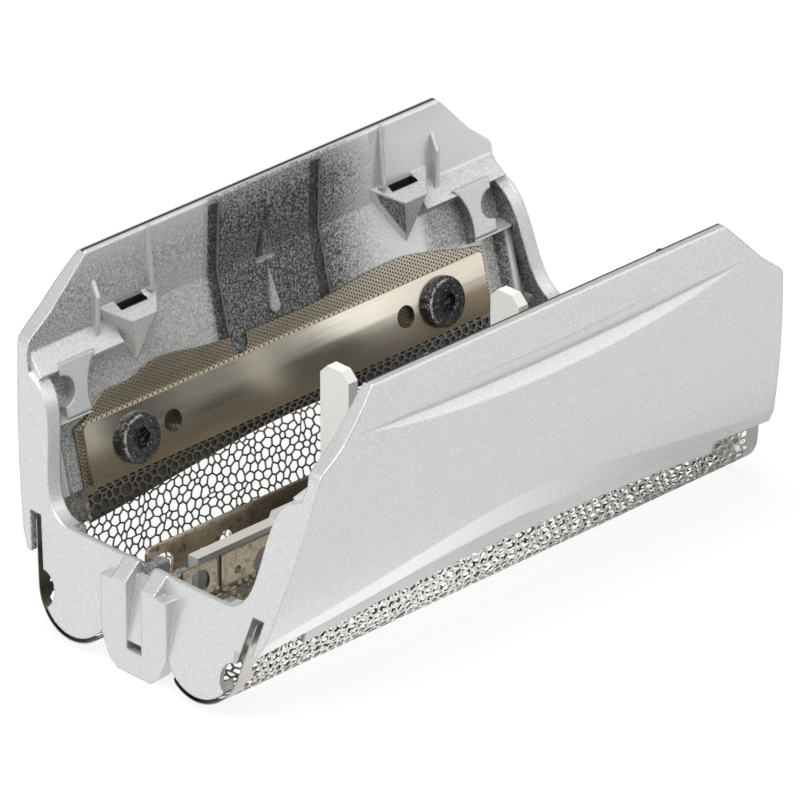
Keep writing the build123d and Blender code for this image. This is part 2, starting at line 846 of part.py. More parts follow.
with BuildPart() as front_clamp_strip:
    mirror(rear_clamp_strip.part, about=Plane.XZ)
front_clamp_strip.part.label = "front_clamp_strip"
export_step(front_clamp_strip.part, "parts/front_clamp_strip.step")

# Rivets through strip and foil into the wall
with BuildPart() as rear_clamp_rivets:
    with BuildSketch(flank_plane(-foil_thick - strip_thick)):
        with Locations((-rivet_x, up_slope(rivet_z)), (rivet_x, up_slope(rivet_z))):
            Circle(rivet_head_radius)
    extrude(amount=rivet_head_high)
    head_rims = rear_clamp_rivets.edges().filter_by(GeomType.CIRCLE).group_by(Axis.Y)[0]
    fillet(head_rims, rivet_head_round)
    with BuildSketch(flank_plane(-foil_thick - strip_thick - rivet_head_high)):
        with Locations((-rivet_x, up_slope(rivet_z)), (rivet_x, up_slope(rivet_z))):
            RegularPolygon(rivet_recess_radius, 6)
    extrude(amount=-rivet_recess_deep, mode=Mode.SUBTRACT)
    with BuildSketch(flank_plane(-foil_thick - strip_thick)):
        with Locations((-rivet_x, up_slope(rivet_z)), (rivet_x, up_slope(rivet_z))):
            Circle(rivet_shank_radius)
    extrude(amount=-(strip_thick + foil_thick + wall_gap + rivet_bite))
rear_clamp_rivets.part.label = "rear_clamp_rivets"
export_step(rear_clamp_rivets.part, "parts/rear_clamp_rivets.step")

with BuildPart() as front_clamp_rivets:
    mirror(rear_clamp_rivets.part, about=Plane.XZ)
front_clamp_rivets.part.label = "front_clamp_rivets"
export_step(front_clamp_rivets.part, "parts/front_clamp_rivets.step")

# Trimmer comb: a slotted U whose sides have ears and holes
comb_high = comb_top_z - comb_foot_z
comb_ear_x = comb_half_long + comb_ear_long

with BuildPart() as trimmer_comb:
    with Locations((0, 0, comb_ear_z)):
        Box(
            2 * comb_ear_x,
            2 * comb_half_wide,
            comb_top_z - comb_ear_z,
            align=(Align.CENTER, Align.CENTER, Align.MIN),
        )
    across = trimmer_comb.edges().filter_by(Axis.Y)
    fillet(across, comb_ear_round)
    with Locations((0, 0, comb_foot_z)):
        Box(2 * comb_half_long, 2 * comb_half_wide, comb_high, align=(Align.CENTER, Align.CENTER, Align.MIN))
    with Locations((0, 0, comb_foot_z + comb_wall)):
        Box(
            2 * comb_ear_x,
            2 * comb_inside,
            comb_high,
            align=(Align.CENTER, Align.CENTER, Align.MIN),
            mode=Mode.SUBTRACT,
        )
    with BuildSketch(Plane.XZ):
        with GridLocations(comb_pitch, 1, comb_teeth, 1):
            with Locations((0, comb_foot_z)):
                Rectangle(comb_slot, 2 * comb_slot_high)
        for side in (-1, 1):
            with Locations((side * (comb_half_long - comb_small_hole_inset), comb_hole_z)):
                Circle(comb_small_hole)
            with Locations((side * (comb_half_long - comb_oval_inset), comb_hole_z)):
                SlotOverall(comb_oval_long, 2 * comb_oval_radius, rotation=side * comb_oval_turn)
            with Locations((side * comb_half_long, comb_arch_z)):
                Circle(comb_arch_radius)
    extrude(amount=comb_half_wide, both=True, mode=Mode.SUBTRACT)
    # The front side is lower, with two slots and a window under the driver's hub
    with BuildSketch(Plane.XZ):
        with Locations((0, comb_front_z)):
            Rectangle(2 * comb_ear_x, comb_high, align=(Align.CENTER, Align.MIN))
        with Locations((0, comb_window_z)):
            Rectangle(2 * comb_window_half, comb_high, align=(Align.CENTER, Align.MIN))
        for side in (-1, 1):
            with Locations((side * (comb_half_long - comb_side_slot_inset), comb_side_slot_z)):
                Rectangle(comb_side_slot, comb_high, align=(Align.CENTER, Align.MIN))
    extrude(amount=comb_half_wide, mode=Mode.SUBTRACT)
trimmer_comb.part.label = "trimmer_comb"
export_step(trimmer_comb.part, "parts/trimmer_comb.step")

# End guides: plugs in the comb's ends with a tongue in the frame's groove
guide_floor_z = comb_foot_z + comb_wall
guide_high = guide_top_z - guide_floor_z

with BuildPart() as right_end_guide:
    with Locations((comb_half_long, 0, guide_floor_z)):
        Box(guide_long, 2 * comb_inside, guide_high, align=(Align.MAX, Align.CENTER, Align.MIN))
        Box(
            tongue_long,
            2 * tongue_half,
            guide_high,
            align=(Align.MIN, Align.CENTER, Align.MIN),
        )
right_end_guide.part.label = "right_end_guide"
export_step(right_end_guide.part, "parts/right_end_guide.step")

with BuildPart() as left_end_guide:
    mirror(right_end_guide.part, about=Plane.YZ)
left_end_guide.part.label = "left_end_guide"
export_step(left_end_guide.part, "parts/left_end_guide.step")

# Trimmer blade: a smaller slotted U inside the comb
blade_half_wide = comb_inside - blade_gap
blade_foot_z = comb_foot_z + comb_wall + blade_gap
blade_half_long = comb_half_long - guide_long - stroke - blade_end_gap
blade_high = blade_top_z - blade_foot_z
blade_inside = blade_half_wide - blade_wall

with BuildPart() as trimmer_blade:
    with Locations((0, 0, blade_foot_z)):
        Box(
            2 * blade_half_long,
            2 * blade_half_wide,
            blade_high,
            align=(Align.CENTER, Align.CENTER, Align.MIN),
        )
    with Locations((0, 0, blade_foot_z + blade_wall)):
        Box(
            2 * blade_half_long,
            2 * blade_inside,
            blade_high,
            align=(Align.CENTER, Align.CENTER, Align.MIN),
            mode=Mode.SUBTRACT,
        )
    with BuildSketch(Plane.XZ):
        with GridLocations(comb_pitch, 1, blade_teeth, 1):
            with Locations((0, blade_foot_z)):
                Rectangle(comb_slot, 2 * blade_slot_high)
    extrude(amount=2 * blade_half_wide, both=True, mode=Mode.SUBTRACT)
trimmer_blade.part.label = "trimmer_blade"
export_step(trimmer_blade.part, "parts/trimmer_blade.step")

# Trimmer driver: a bar seated in the blade, a rail on top and two prongs that take the drive
rail_half_long = blade_half_long + stroke

with BuildPart() as trimmer_driver:
    with Locations((0, 0, blade_foot_z + blade_wall)):
        Box(
            2 * blade_half_long,
            2 * blade_inside,
            rail_foot_z - blade_foot_z - blade_wall,
            align=(Align.CENTER, Align.CENTER, Align.MIN),
        )
    with Locations((0, 0, rail_foot_z)):
        Box(
            2 * rail_half_long,
            2 * rail_half,
            rail_top_z - rail_foot_z,
            align=(Align.CENTER, Align.CENTER, Align.MIN),
        )
    # Hub with ramped ends, which reaches over the comb's front side
    with BuildSketch(Plane.XZ) as hub_view:
        with BuildLine():
            Polyline(
                (-hub_half - hub_ramp, rail_foot_z),
                (-hub_half, hub_top_z),
                (hub_half, hub_top_z),
                (hub_half + hub_ramp, rail_foot_z),
                close=True,
            )
        make_face()
    extrude(hub_view.sketch, amount=blade_inside)
    extrude(hub_view.sketch, amount=-hub_back)
    with Locations((0, -blade_inside, hub_floor_z)):
        Box(
            2 * hub_half,
            hub_front - blade_inside,
            hub_top_z - hub_floor_z,
            align=(Align.CENTER, Align.MAX, Align.MIN),
        )
    for side in (-1, 1):
        with BuildSketch(Plane.YZ.offset(side * prong_x)) as prong_view:
            with BuildLine():
                Polyline(
                    (-prong_back, hub_top_z),
                    (-prong_back, prong_top_z),
                    (-prong_front, prong_top_z),
                    (-prong_front, prong_step_z),
                    (-hub_front, prong_step_z),
                    (-hub_front, hub_top_z),
                    close=True,
                )
            make_face()
            chamfer(prong_view.vertices().group_by(Axis.Y)[-1], prong_cut)
        extrude(amount=prong_thick / 2, both=True)
trimmer_driver.part.label = "trimmer_driver"
export_step(trimmer_driver.part, "parts/trimmer_driver.step")
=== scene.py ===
"""Looks of a shaver foil head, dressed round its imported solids.

Lengths are millimetres unless a comment says otherwise, and MM turns them into the scene's metres.
X runs along the head, Y towards its rear wall and Z up, with the foils at the bottom. A span is the
low and the high end of a smooth step, or the two limits of a band.
"""

from __future__ import annotations

import logging
import math
from collections.abc import Mapping
from dataclasses import dataclass
from enum import Enum

import bmesh
import bpy
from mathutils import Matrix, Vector


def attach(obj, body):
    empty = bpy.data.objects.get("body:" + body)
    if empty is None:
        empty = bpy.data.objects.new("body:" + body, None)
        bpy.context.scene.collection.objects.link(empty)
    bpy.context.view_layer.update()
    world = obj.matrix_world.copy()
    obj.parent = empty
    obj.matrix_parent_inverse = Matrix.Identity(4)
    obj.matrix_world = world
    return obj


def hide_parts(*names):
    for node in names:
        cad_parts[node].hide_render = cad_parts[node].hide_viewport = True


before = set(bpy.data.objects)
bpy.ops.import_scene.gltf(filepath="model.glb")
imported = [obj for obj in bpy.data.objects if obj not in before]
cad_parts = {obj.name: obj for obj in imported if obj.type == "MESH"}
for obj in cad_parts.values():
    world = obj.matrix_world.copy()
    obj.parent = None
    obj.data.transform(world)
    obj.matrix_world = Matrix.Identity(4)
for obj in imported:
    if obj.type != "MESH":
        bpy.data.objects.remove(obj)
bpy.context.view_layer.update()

MM = 0.001
LOG = logging.getLogger("foil_head")

Colour = tuple[float, float, float, float]
Place = tuple[float, float, float]
Span = tuple[float, float]
Spot = tuple[float, float]
Relief = tuple[float, float]  # a bump's strength, and its step in millimetres
TRUE_RELIEF: Relief = (1.0, 1.0)  # for heights that are millimetres already
Settings = Mapping[str, object]
Sockets = Mapping[str | int, object]


def grey(level: float) -> Colour:
    """Return an opaque neutral colour of a linear level."""
    return (level, level, level, 1.0)


class Field:
    """A socket's output that Python operators can use, each adding a Math node."""

    def __init__(self, graph: Graph, socket: bpy.types.NodeSocket) -> None:
        """Keep the socket and the graph that it belongs to."""
        self.graph = graph
        self.socket = socket

    def math(self, operation: str, *others: object) -> Field:
        """Add a Math node.

        Args:
            operation: Blender's name of the operation.
            others: the operands after this one.

        Returns:
            The result as a field.
        """
        return self.graph.get(
            "ShaderNodeMath", {"operation": operation}, dict(enumerate((self, *others)))
        )

    def __add__(self, other: object) -> Field:
        """Return self + other."""
        return self.math("ADD", other)

    __radd__ = __add__

    def __sub__(self, other: object) -> Field:
        """Return self - other."""
        return self.math("SUBTRACT", other)

    def __rsub__(self, other: object) -> Field:
        """Return other - self."""
        return (self * -1.0) + other

    def __mul__(self, other: object) -> Field:
        """Return self * other."""
        return self.math("MULTIPLY", other)

    __rmul__ = __mul__

    def __truediv__(self, other: object) -> Field:
        """Return self / other."""
        return self.math("DIVIDE", other)

    def __abs__(self) -> Field:
        """Return the absolute value."""
        return self.math("ABSOLUTE")

    def least(self, other: object) -> Field:
        """Return the lesser of the two values."""
        return self.math("MINIMUM", other)

    def most(self, other: object) -> Field:
        """Return the greater of the two values."""
        return self.math("MAXIMUM", other)

    def above(self, edge: object) -> Field:
        """Return 1 where the value is over an edge and 0 elsewhere."""
        return self.math("GREATER_THAN", edge)

    def below(self, edge: object) -> Field:
        """Return 1 where the value is under an edge and 0 elsewhere."""
        return self.math("LESS_THAN", edge)

    def reach(self, other: object) -> Field:
        """Return the length of the vector that has these two parts."""
        return (self * self + other * other).math("SQRT")

    def ease(self, low: float, high: float) -> Field:
        """Return a smooth step from 0 at the low value to 1 at the high one."""
        return self.graph.get(
            "ShaderNodeMapRange",
            {"interpolation_type": "SMOOTHSTEP"},
            {"Value": self, "From Min": low, "From Max": high},
        )

    def band(self, limits: Span, fade: float = 0.03) -> Field:
        """Return 1 between two limits and 0 outside them.

        Args:
            limits: the low and the high limit.
            fade: half the width of the smooth step at each limit.

        Returns:
            The mask.
        """
        low, high = limits
        return self.ease(low - fade, low + fade) * (1.0 - self.ease(high - fade, high + fade))


Triple = tuple[Field, Field, Field]
Sizes = Mapping[str, Field]


@dataclass(frozen=True)
class Noise:
    """Smooth noise: features in a unit of length, number of finer layers and their strength."""

    scale: float
    detail: float = 2.0
    fine: float = 0.5


class Graph:
    """A node tree, for shaders or for geometry, with one method that adds any node."""

    def __init__(self, tree: bpy.types.NodeTree) -> None:
        """Keep the tree."""
        self.tree = tree

    @classmethod
    def fresh(cls, owner: bpy.types.Material | bpy.types.World) -> Graph:
        """Return the emptied shader tree of a material or a world."""
        owner.use_nodes = True
        owner.node_tree.nodes.clear()
        return cls(owner.node_tree)

    @staticmethod
    def pick(sockets: bpy.types.bpy_prop_collection, key: str | int) -> bpy.types.NodeSocket:
        """Find a usable socket.

        Args:
            sockets: a node's inputs or outputs.
            key: the socket's name, or its place among the usable ones.

        Returns:
            The socket.
        """
        usable = [socket for socket in sockets if socket.enabled and not socket.is_unavailable]
        if isinstance(key, int):
            return usable[key]
        return next(socket for socket in usable if socket.name == key)

    def add(
        self, kind: str, settings: Settings | None = None, sockets: Sockets | None = None
    ) -> bpy.types.Node:
        """Add a node of any type.

        Args:
            kind: Blender's name of the node's type.
            settings: its own properties, set first; "stops" gives a ramp's places and colours.
            sockets: values or fields for its inputs, by name or place.

        Returns:
            The node.
        """
        node = self.tree.nodes.new(kind)
        for name, value in (settings or {}).items():
            if name == "stops":
                self.set_stops(node.color_ramp, value)
            else:
                setattr(node, name, value)
        for key, value in (sockets or {}).items():
            socket = self.pick(node.inputs, key)
            if isinstance(value, Field):
                self.tree.links.new(value.socket, socket)
            else:
                socket.default_value = value
        return node

    @staticmethod
    def set_stops(ramp: bpy.types.ColorRamp, stops: Mapping[float, Colour]) -> None:
        """Give a ramp its stops.

        Args:
            ramp: the ramp to fill.
            stops: colours by place, at least two.
        """
        places = sorted(stops)
        while len(ramp.elements) < len(places):
            ramp.elements.new(1.0)
        for element, place in zip(ramp.elements, places):
            element.position = place
            element.color = stops[place]

    def output(self, node: bpy.types.Node, key: str | int = 0) -> Field:
        """Return one of a node's outputs as a field, by name or place."""
        return Field(self, self.pick(node.outputs, key))

    def get(
        self,
        kind: str,
        settings: Settings | None = None,
        sockets: Sockets | None = None,
        output: str | int = 0,
    ) -> Field:
        """Add a node and return one of its outputs as a field.

        Args:
            kind: Blender's name of the node's type.
            settings: the node's own properties.
            sockets: values or fields for its inputs.
            output: name or place of the output.

        Returns:
            The output.
        """
        return self.output(self.add(kind, settings, sockets), output)

    def split(self, vector: Field) -> Triple:
        """Return the three parts of a vector."""
        node = self.add("ShaderNodeSeparateXYZ", None, {"Vector": vector})
        return tuple(Field(self, socket) for socket in node.outputs)

    def join(self, x: object, y: object, z: object) -> Field:
        """Return a vector made of three values."""
        return self.get("ShaderNodeCombineXYZ", None, {"X": x, "Y": y, "Z": z})

    def neutral(self, level: Field) -> Field:
        """Return a neutral colour of a level that varies."""
        return self.join(level, level, level)

    def scaled(self, vector: Field, factor: float) -> Field:
        """Return a vector times a number."""
        sockets = {"Vector": vector, "Scale": factor}
        return self.get("ShaderNodeVectorMath", {"operation": "SCALE"}, sockets)

    def stretched(self, vector: Field, factors: Place) -> Field:
        """Return a vector with each part times its own number."""
        sockets = {0: vector, 1: factors}
        return self.get("ShaderNodeVectorMath", {"operation": "MULTIPLY"}, sockets)

    def millimetres(self) -> Field:
        """Return the surface point in the head's own frame, in millimetres."""
        place = self.get("ShaderNodeTexCoord", None, None, "Object")
        return self.scaled(place, 1.0 / MM)

    def noise(self, vector: Field, kind: Noise) -> Field:
        """Return noise between about 0 and 1.

        Args:
            vector: the place that it is read at.
            kind: its scale and layers.

        Returns:
            The noise.
        """
        sockets = {"Scale": kind.scale, "Detail": kind.detail, "Roughness": kind.fine}
        return self.get("ShaderNodeTexNoise", None, {"Vector": vector, **sockets}, "Fac")

    def blend(self, share: object, low: object, high: object) -> Field:
        """Return a colour between two, by a share from 0 to 1."""
        settings = {"data_type": "RGBA", "blend_type": "MIX"}
        return self.get("ShaderNodeMix", settings, {"Factor": share, "A": low, "B": high})

    def bump(self, height: Field, relief: Relief, normal: Field | None = None) -> Field:
        """Return a normal bent by a height.

        Args:
            height: the height, in steps.
            relief: share of the effect and size of a step.
            normal: a normal to start from.

        Returns:
            The bent normal.
        """
        strength, step = relief
        sockets = {"Height": height, "Strength": strength, "Distance": step * MM}
        if normal is not None:
            sockets["Normal"] = normal
        return self.get("ShaderNodeBump", None, sockets)


@dataclass(frozen=True)
class Finish:
    """A surface finish, which becomes one material."""

    name: str

    def surface(self, graph: Graph) -> Sockets:
        """Return the values and fields of the finish's Principled sockets."""
        raise NotImplementedError

    def material(self) -> bpy.types.Material:
        """Make the material.

        Returns:
            A new material whose nodes follow the finish.
        """
        material = bpy.data.materials.new(self.name)
        graph = Graph.fresh(material)
        shader = graph.get("ShaderNodeBsdfPrincipled", None, self.surface(graph))
        graph.add("ShaderNodeOutputMaterial", None, {"Surface": shader})
        return material


# Paint that reached the long walls' inner faces, by place along the head from 0 to 1
SPRAY_REACH = {0.05: 0.45, 0.30: 0.62, 0.385: 0.62, 0.405: 0.115, 0.60: 0.105}
SPRAY_REACH |= {0.63: 0.23, 0.70: 0.80, 0.755: 0.96, 0.81: 1.0}


@dataclass(frozen=True)
class SilverPaint(Finish):
    """Silver paint sprayed on black plastic, thin and speckled where it hardly reached."""

    light: Colour = (0.66, 0.67, 0.665, 1.0)
    shade: Colour = (0.50, 0.51, 0.51, 1.0)
    # Paler silver for painted light on the flat inner faces of the long walls, and its share
    inner_light: Colour = (0.84, 0.85, 0.84, 1.0)
    inner_share: float = 0.6
    plastic: Colour = (0.016, 0.016, 0.017, 1.0)
    metallic: float = 0.66
    inner_matt: float = 0.36
    rough: float = 0.46
    paint_gloss: float = 0.18

    # Specks, flakes and grain
    specks: Noise = Noise(5.5, fine=0.6)
    flakes: Noise = Noise(9.0, fine=0.6)
    flake_span: Span = (0.3, 0.7)
    flake_rough: float = 0.05
    grain: Noise = Noise(7.0, fine=0.6)
    grain_relief: Relief = (0.14, 0.03)
    mottle: float = 2.1
    mottle_end: float = 1.3

    # The moulding
    edge_round: float = 0.27
    edge_samples: int = 6
    half_long: float = 30.0
    end_slope: float = 0.19
    top_z: float = 28.1
    wall_start: float = 10.503
    wall_lean: float = 0.2493
    wall_knee: float = 15.84
    wall_from: Span = (9.5, 11.0)
    wall_facing: Span = (0.05, 0.45)
    wall_level: Span = (0.4, 0.7)
    proud: Span = (0.10, 0.26)

    # Bare plastic: worn top edges, latch pockets, the wall behind the foil; the latch pockets are
    # painted shade too
    bare_rear: Span = (16.02, 16.32)
    bare_front: Span = (15.70, 16.02)
    pocket_x: Span = (13.62, 16.58)
    pocket_y: Span = (14.92, 15.95)
    pocket_z: Span = (21.1, 22.4)
    mask_z: float = 9.6
    mask_half: float = 22.6
    mask_share: float = 0.9

    # Darker left half of the lip under the front wall
    lip_y: float = -10.6
    lip_z: float = 8.0
    lip_fall: float = 0.067
    lip_fade: Span = (-6.0, 12.0)
    lip_dull: float = 0.7
    lip_shade: Colour = (0.36, 0.37, 0.37, 1.0)

    # Long walls: proud faces took more paint, upward faces more paint and painted light; painted
    # shade in recesses, under overhangs and in the far end's hollows
    rib_x: Span = (11.6, 13.5)
    rib_z: float = 22.5
    raised_gain: float = 0.55
    # Upward faces: more paint and painted light
    level: Span = (0.35, 0.75)
    level_gain: float = 0.35
    # Painted shade in recesses, with a painted highlight and painted shade on the two facets of the
    # arrow's recess
    sunk: Span = (0.12, 0.22)
    sunk_loss: float = 0.08
    arrow_half: float = 1.2
    arrow_turn: Span = (-0.5, 1.2)
    arrow_gain: float = 0.38
    arrow_loss: float = 0.14
    # Painted shade under overhangs, less of it towards lower X
    under: Span = (0.15, 0.35)
    overhang: Span = (0.3, 0.5)
    under_x: Span = (-6.0, 6.0)
    under_left: float = 0.25
    # Painted shade in the far end's hollow and in its corner
    far_x: Span = (16.5, 18.0)
    far_z: Span = (15.0, 19.9)
    corner_x: Span = (22.8, 23.4)
    corner_z: Span = (9.0, 19.9)
    far_fade: float = 0.3
    # How dark the painted shade is, darker on faces turned towards lower X
    shelter_facing: Span = (-0.6, -0.2)
    shelter_gain: float = 0.2
    shelter_paint: float = 0.28

    # Shelves on the long walls
    shelf_half: float = 26.0
    shelf_y: Span = (10.0, 15.7)
    shelf_z: Span = (14.0, 24.0)
    shelf_level: Span = (0.5, 0.8)
    shelf_bare: float = 0.2

    # Inner faces of the ends, darker, and painted shade on the low tops of the blocks
    end_paint: float = 0.30
    end_facing: Span = (0.2, 0.5)
    end_rise: Span = (4.0, 5.0)
    end_top_z: float = 20.0
    end_near: Span = (0.4, 0.6)
    end_far: Span = (6.5, 7.0)
    block_level: Span = (0.6, 0.8)
    block_top_z: float = 9.4
    block_half: float = 9.0

    def surface(self, graph: Graph) -> Sockets:
        """Return the sockets of paint that thins towards the middle of the inner faces, with
        painted light and shade inside the head.
        """
        point = graph.millimetres()
        spot = graph.split(point)
        _, y, z = spot
        rounded = graph.get(
            "ShaderNodeBevel", {"samples": self.edge_samples}, {"Radius": self.edge_round * MM}
        )
        normal = graph.split(rounded)
        _, ny, nz = normal
        inwards = (ny * y.math("SIGN") * -1.0).ease(*self.wall_facing)
        inside = inwards * abs(y).ease(*self.wall_from)
        # The cover carries painted light and shade inside the head, besides the spray's reach
        cover = (self.wall_cover(graph, spot, normal) - 1.0) * inside + 1.0
        cover = cover.least(self.end_cover(spot, normal)).least(self.shelf_cover(spot, nz))
        painted = self.speckled(graph, point, cover) * (1.0 - self.unpainted(spot, inside))
        flake = graph.noise(point, self.flakes)
        silver = graph.blend(flake.ease(*self.flake_span), self.shade, self.light)
        # Painted light: flat inner faces of the long walls are blended towards a paler silver
        flat = (1.0 - self.depth(y, z).ease(*self.proud)) * (1.0 - nz.ease(*self.wall_level))
        silver = graph.blend(inside * flat * self.inner_share, silver, self.inner_light)
        silver = graph.blend(self.lip(spot) * self.lip_dull, silver, self.lip_shade)
        grain = graph.noise(point, self.grain)
        return {
            "Base Color": graph.blend(painted, self.plastic, silver),
            "Metallic": painted * (self.metallic - inside * self.inner_matt),
            "Roughness": self.rough - painted * self.paint_gloss + flake * self.flake_rough,
            "Normal": graph.bump(grain, self.grain_relief, rounded),
        }

    def speckled(self, graph: Graph, point: Field, cover: Field) -> Field:
        """Break thin paint up into specks.

        Args:
            graph: the shader's tree.
            point: the surface point.
            cover: share of the surface that the paint covers, with any painted light and shade in
                it.

        Returns:
            The cover, mottled where it is neither full nor nil.
        """
        speck = graph.noise(point, self.specks)
        partial = (cover * (1.0 - cover)).most(0.0).math("SQRT")
        patchy = partial * ((self.mottle_end - cover) * (2.0 * self.mottle))
        return (cover + (speck - 0.5) * patchy).most(0.0).least(1.0)

    def unpainted(self, spot: Triple, inside: Field) -> Field:
        """Return 1 on the worn top edges and where the spray never reached; in the deep latch
        pockets this is painted shade as well.

        Args:
            spot: place along the head, across it and up.
            inside: 1 on the inner faces of the long walls.

        Returns:
            The mask.
        """
        x, y, z = spot
        worn = z.above(self.top_z) * y.band(self.bare_rear).most((y * -1.0).band(self.bare_front))
        # Latch pockets: bare plastic, and painted shade
        pocket = abs(x).band(self.pocket_x) * abs(y).band(self.pocket_y) * z.band(self.pocket_z)
        behind = inside * z.below(self.mask_z) * abs(x).below(self.mask_half)
        return worn.most(pocket).most(behind * self.mask_share)

    def lip(self, spot: Triple) -> Field:
        """Return 1 on the lip under the front wall, fading out along the head."""
        x, y, z = spot
        beneath = z.below(abs(x) * -self.lip_fall + self.lip_z)
        return y.below(self.lip_y) * beneath * (1.0 - x.ease(*self.lip_fade))

    def depth(self, y: Field, z: Field) -> Field:
        """Return how far a point stands proud of the long wall's inner face."""
        return (z * self.wall_lean + self.wall_start).least(self.wall_knee) - abs(y)

    def wall_cover(self, graph: Graph, spot: Triple, normal: Triple) -> Field:
        """Return how far the spray covers the inner faces of the long walls, with painted light on
        upward faces and painted shade in recesses, under overhangs and in the far end's hollows.

        Args:
            graph: the shader's tree.
            spot: place along the head, across it and up.
            normal: the surface's normal.

        Returns:
            The cover, with that painted light and shade.
        """
        x, y, z = spot
        nx, _, nz = normal
        reach = graph.get(
            "ShaderNodeValToRGB",
            {"stops": {place: grey(level) for place, level in SPRAY_REACH.items()}},
            {"Fac": (x + self.half_long) / (2.0 * self.half_long)},
        )
        depth = self.depth(y, z)
        rib = x.band(self.rib_x) * z.above(self.rib_z)
        raised = depth.ease(*self.proud) * (1.0 - rib)
        # Painted shade in recesses, and a painted highlight and painted shade on the arrow recess's
        # facets
        sunk = (depth * -1.0).ease(*self.sunk)
        arrow = abs(x).below(self.arrow_half)
        facet = x.ease(*self.arrow_turn) * self.arrow_gain - self.arrow_loss
        hollow = sunk * (arrow * (facet + self.sunk_loss) - self.sunk_loss)
        # Upward faces take more paint and painted light
        lift = nz.ease(*self.level) * self.level_gain + raised * self.raised_gain + hollow
        open_cover = (reach + lift).least(1.0)
        # Painted shade under overhangs, in the far end's hollow and in its corner
        hidden = (nz * -1.0).ease(*self.under) * depth.ease(*self.overhang)
        hidden = hidden * (x.ease(*self.under_x) * (1.0 - self.under_left) + self.under_left)
        corner = x.ease(*self.corner_x) * z.band(self.corner_z, self.far_fade)
        far_end = x.ease(*self.far_x) * (1.0 - raised)
        far_end = far_end * z.band(self.far_z, self.far_fade).most(corner)
        shaded = hidden.most(far_end)
        # How dark the painted shade is, by which way the face turns
        thin = nx.ease(*self.shelter_facing) * self.shelter_gain + self.shelter_paint
        return open_cover * (1.0 - shaded) + shaded * thin

    def shelf_cover(self, spot: Triple, nz: Field) -> Field:
        """Return the cover of upward faces inside the long walls.

        Args:
            spot: place along the head, across it and up.
            nz: the normal's upward part.

        Returns:
            The cover, 1 away from those faces.
        """
        x, y, z = spot
        within = abs(x).below(self.shelf_half) * abs(y).band(self.shelf_y) * z.band(self.shelf_z)
        return 1.0 - nz.ease(*self.shelf_level) * within * self.shelf_bare

    def end_cover(self, spot: Triple, normal: Triple) -> Field:
        """Return a lower cover, and so a darker colour, on the inner faces of the ends, and painted
        shade on the low tops of the blocks.

        Args:
            spot: place along the head, across it and up.
            normal: the surface's normal.

        Returns:
            The cover, 1 away from the blocks and the inner faces.
        """
        x, y, z = spot
        nx, _, nz = normal
        inset = self.half_long - z * self.end_slope - abs(x)
        facing_in = (nx * x.math("SIGN") * -1.0).ease(*self.end_facing) * z.ease(*self.end_rise)
        # Painted shade on the low tops of the blocks
        low_top = nz.ease(*self.block_level) * z.below(self.block_top_z)
        low_top = low_top * abs(y).below(self.block_half)
        behind = inset.ease(*self.end_near) * (1.0 - inset.ease(*self.end_far))
        inner = facing_in.most(low_top) * behind * z.below(self.end_top_z)
        return 1.0 - inner * (1.0 - self.end_paint)


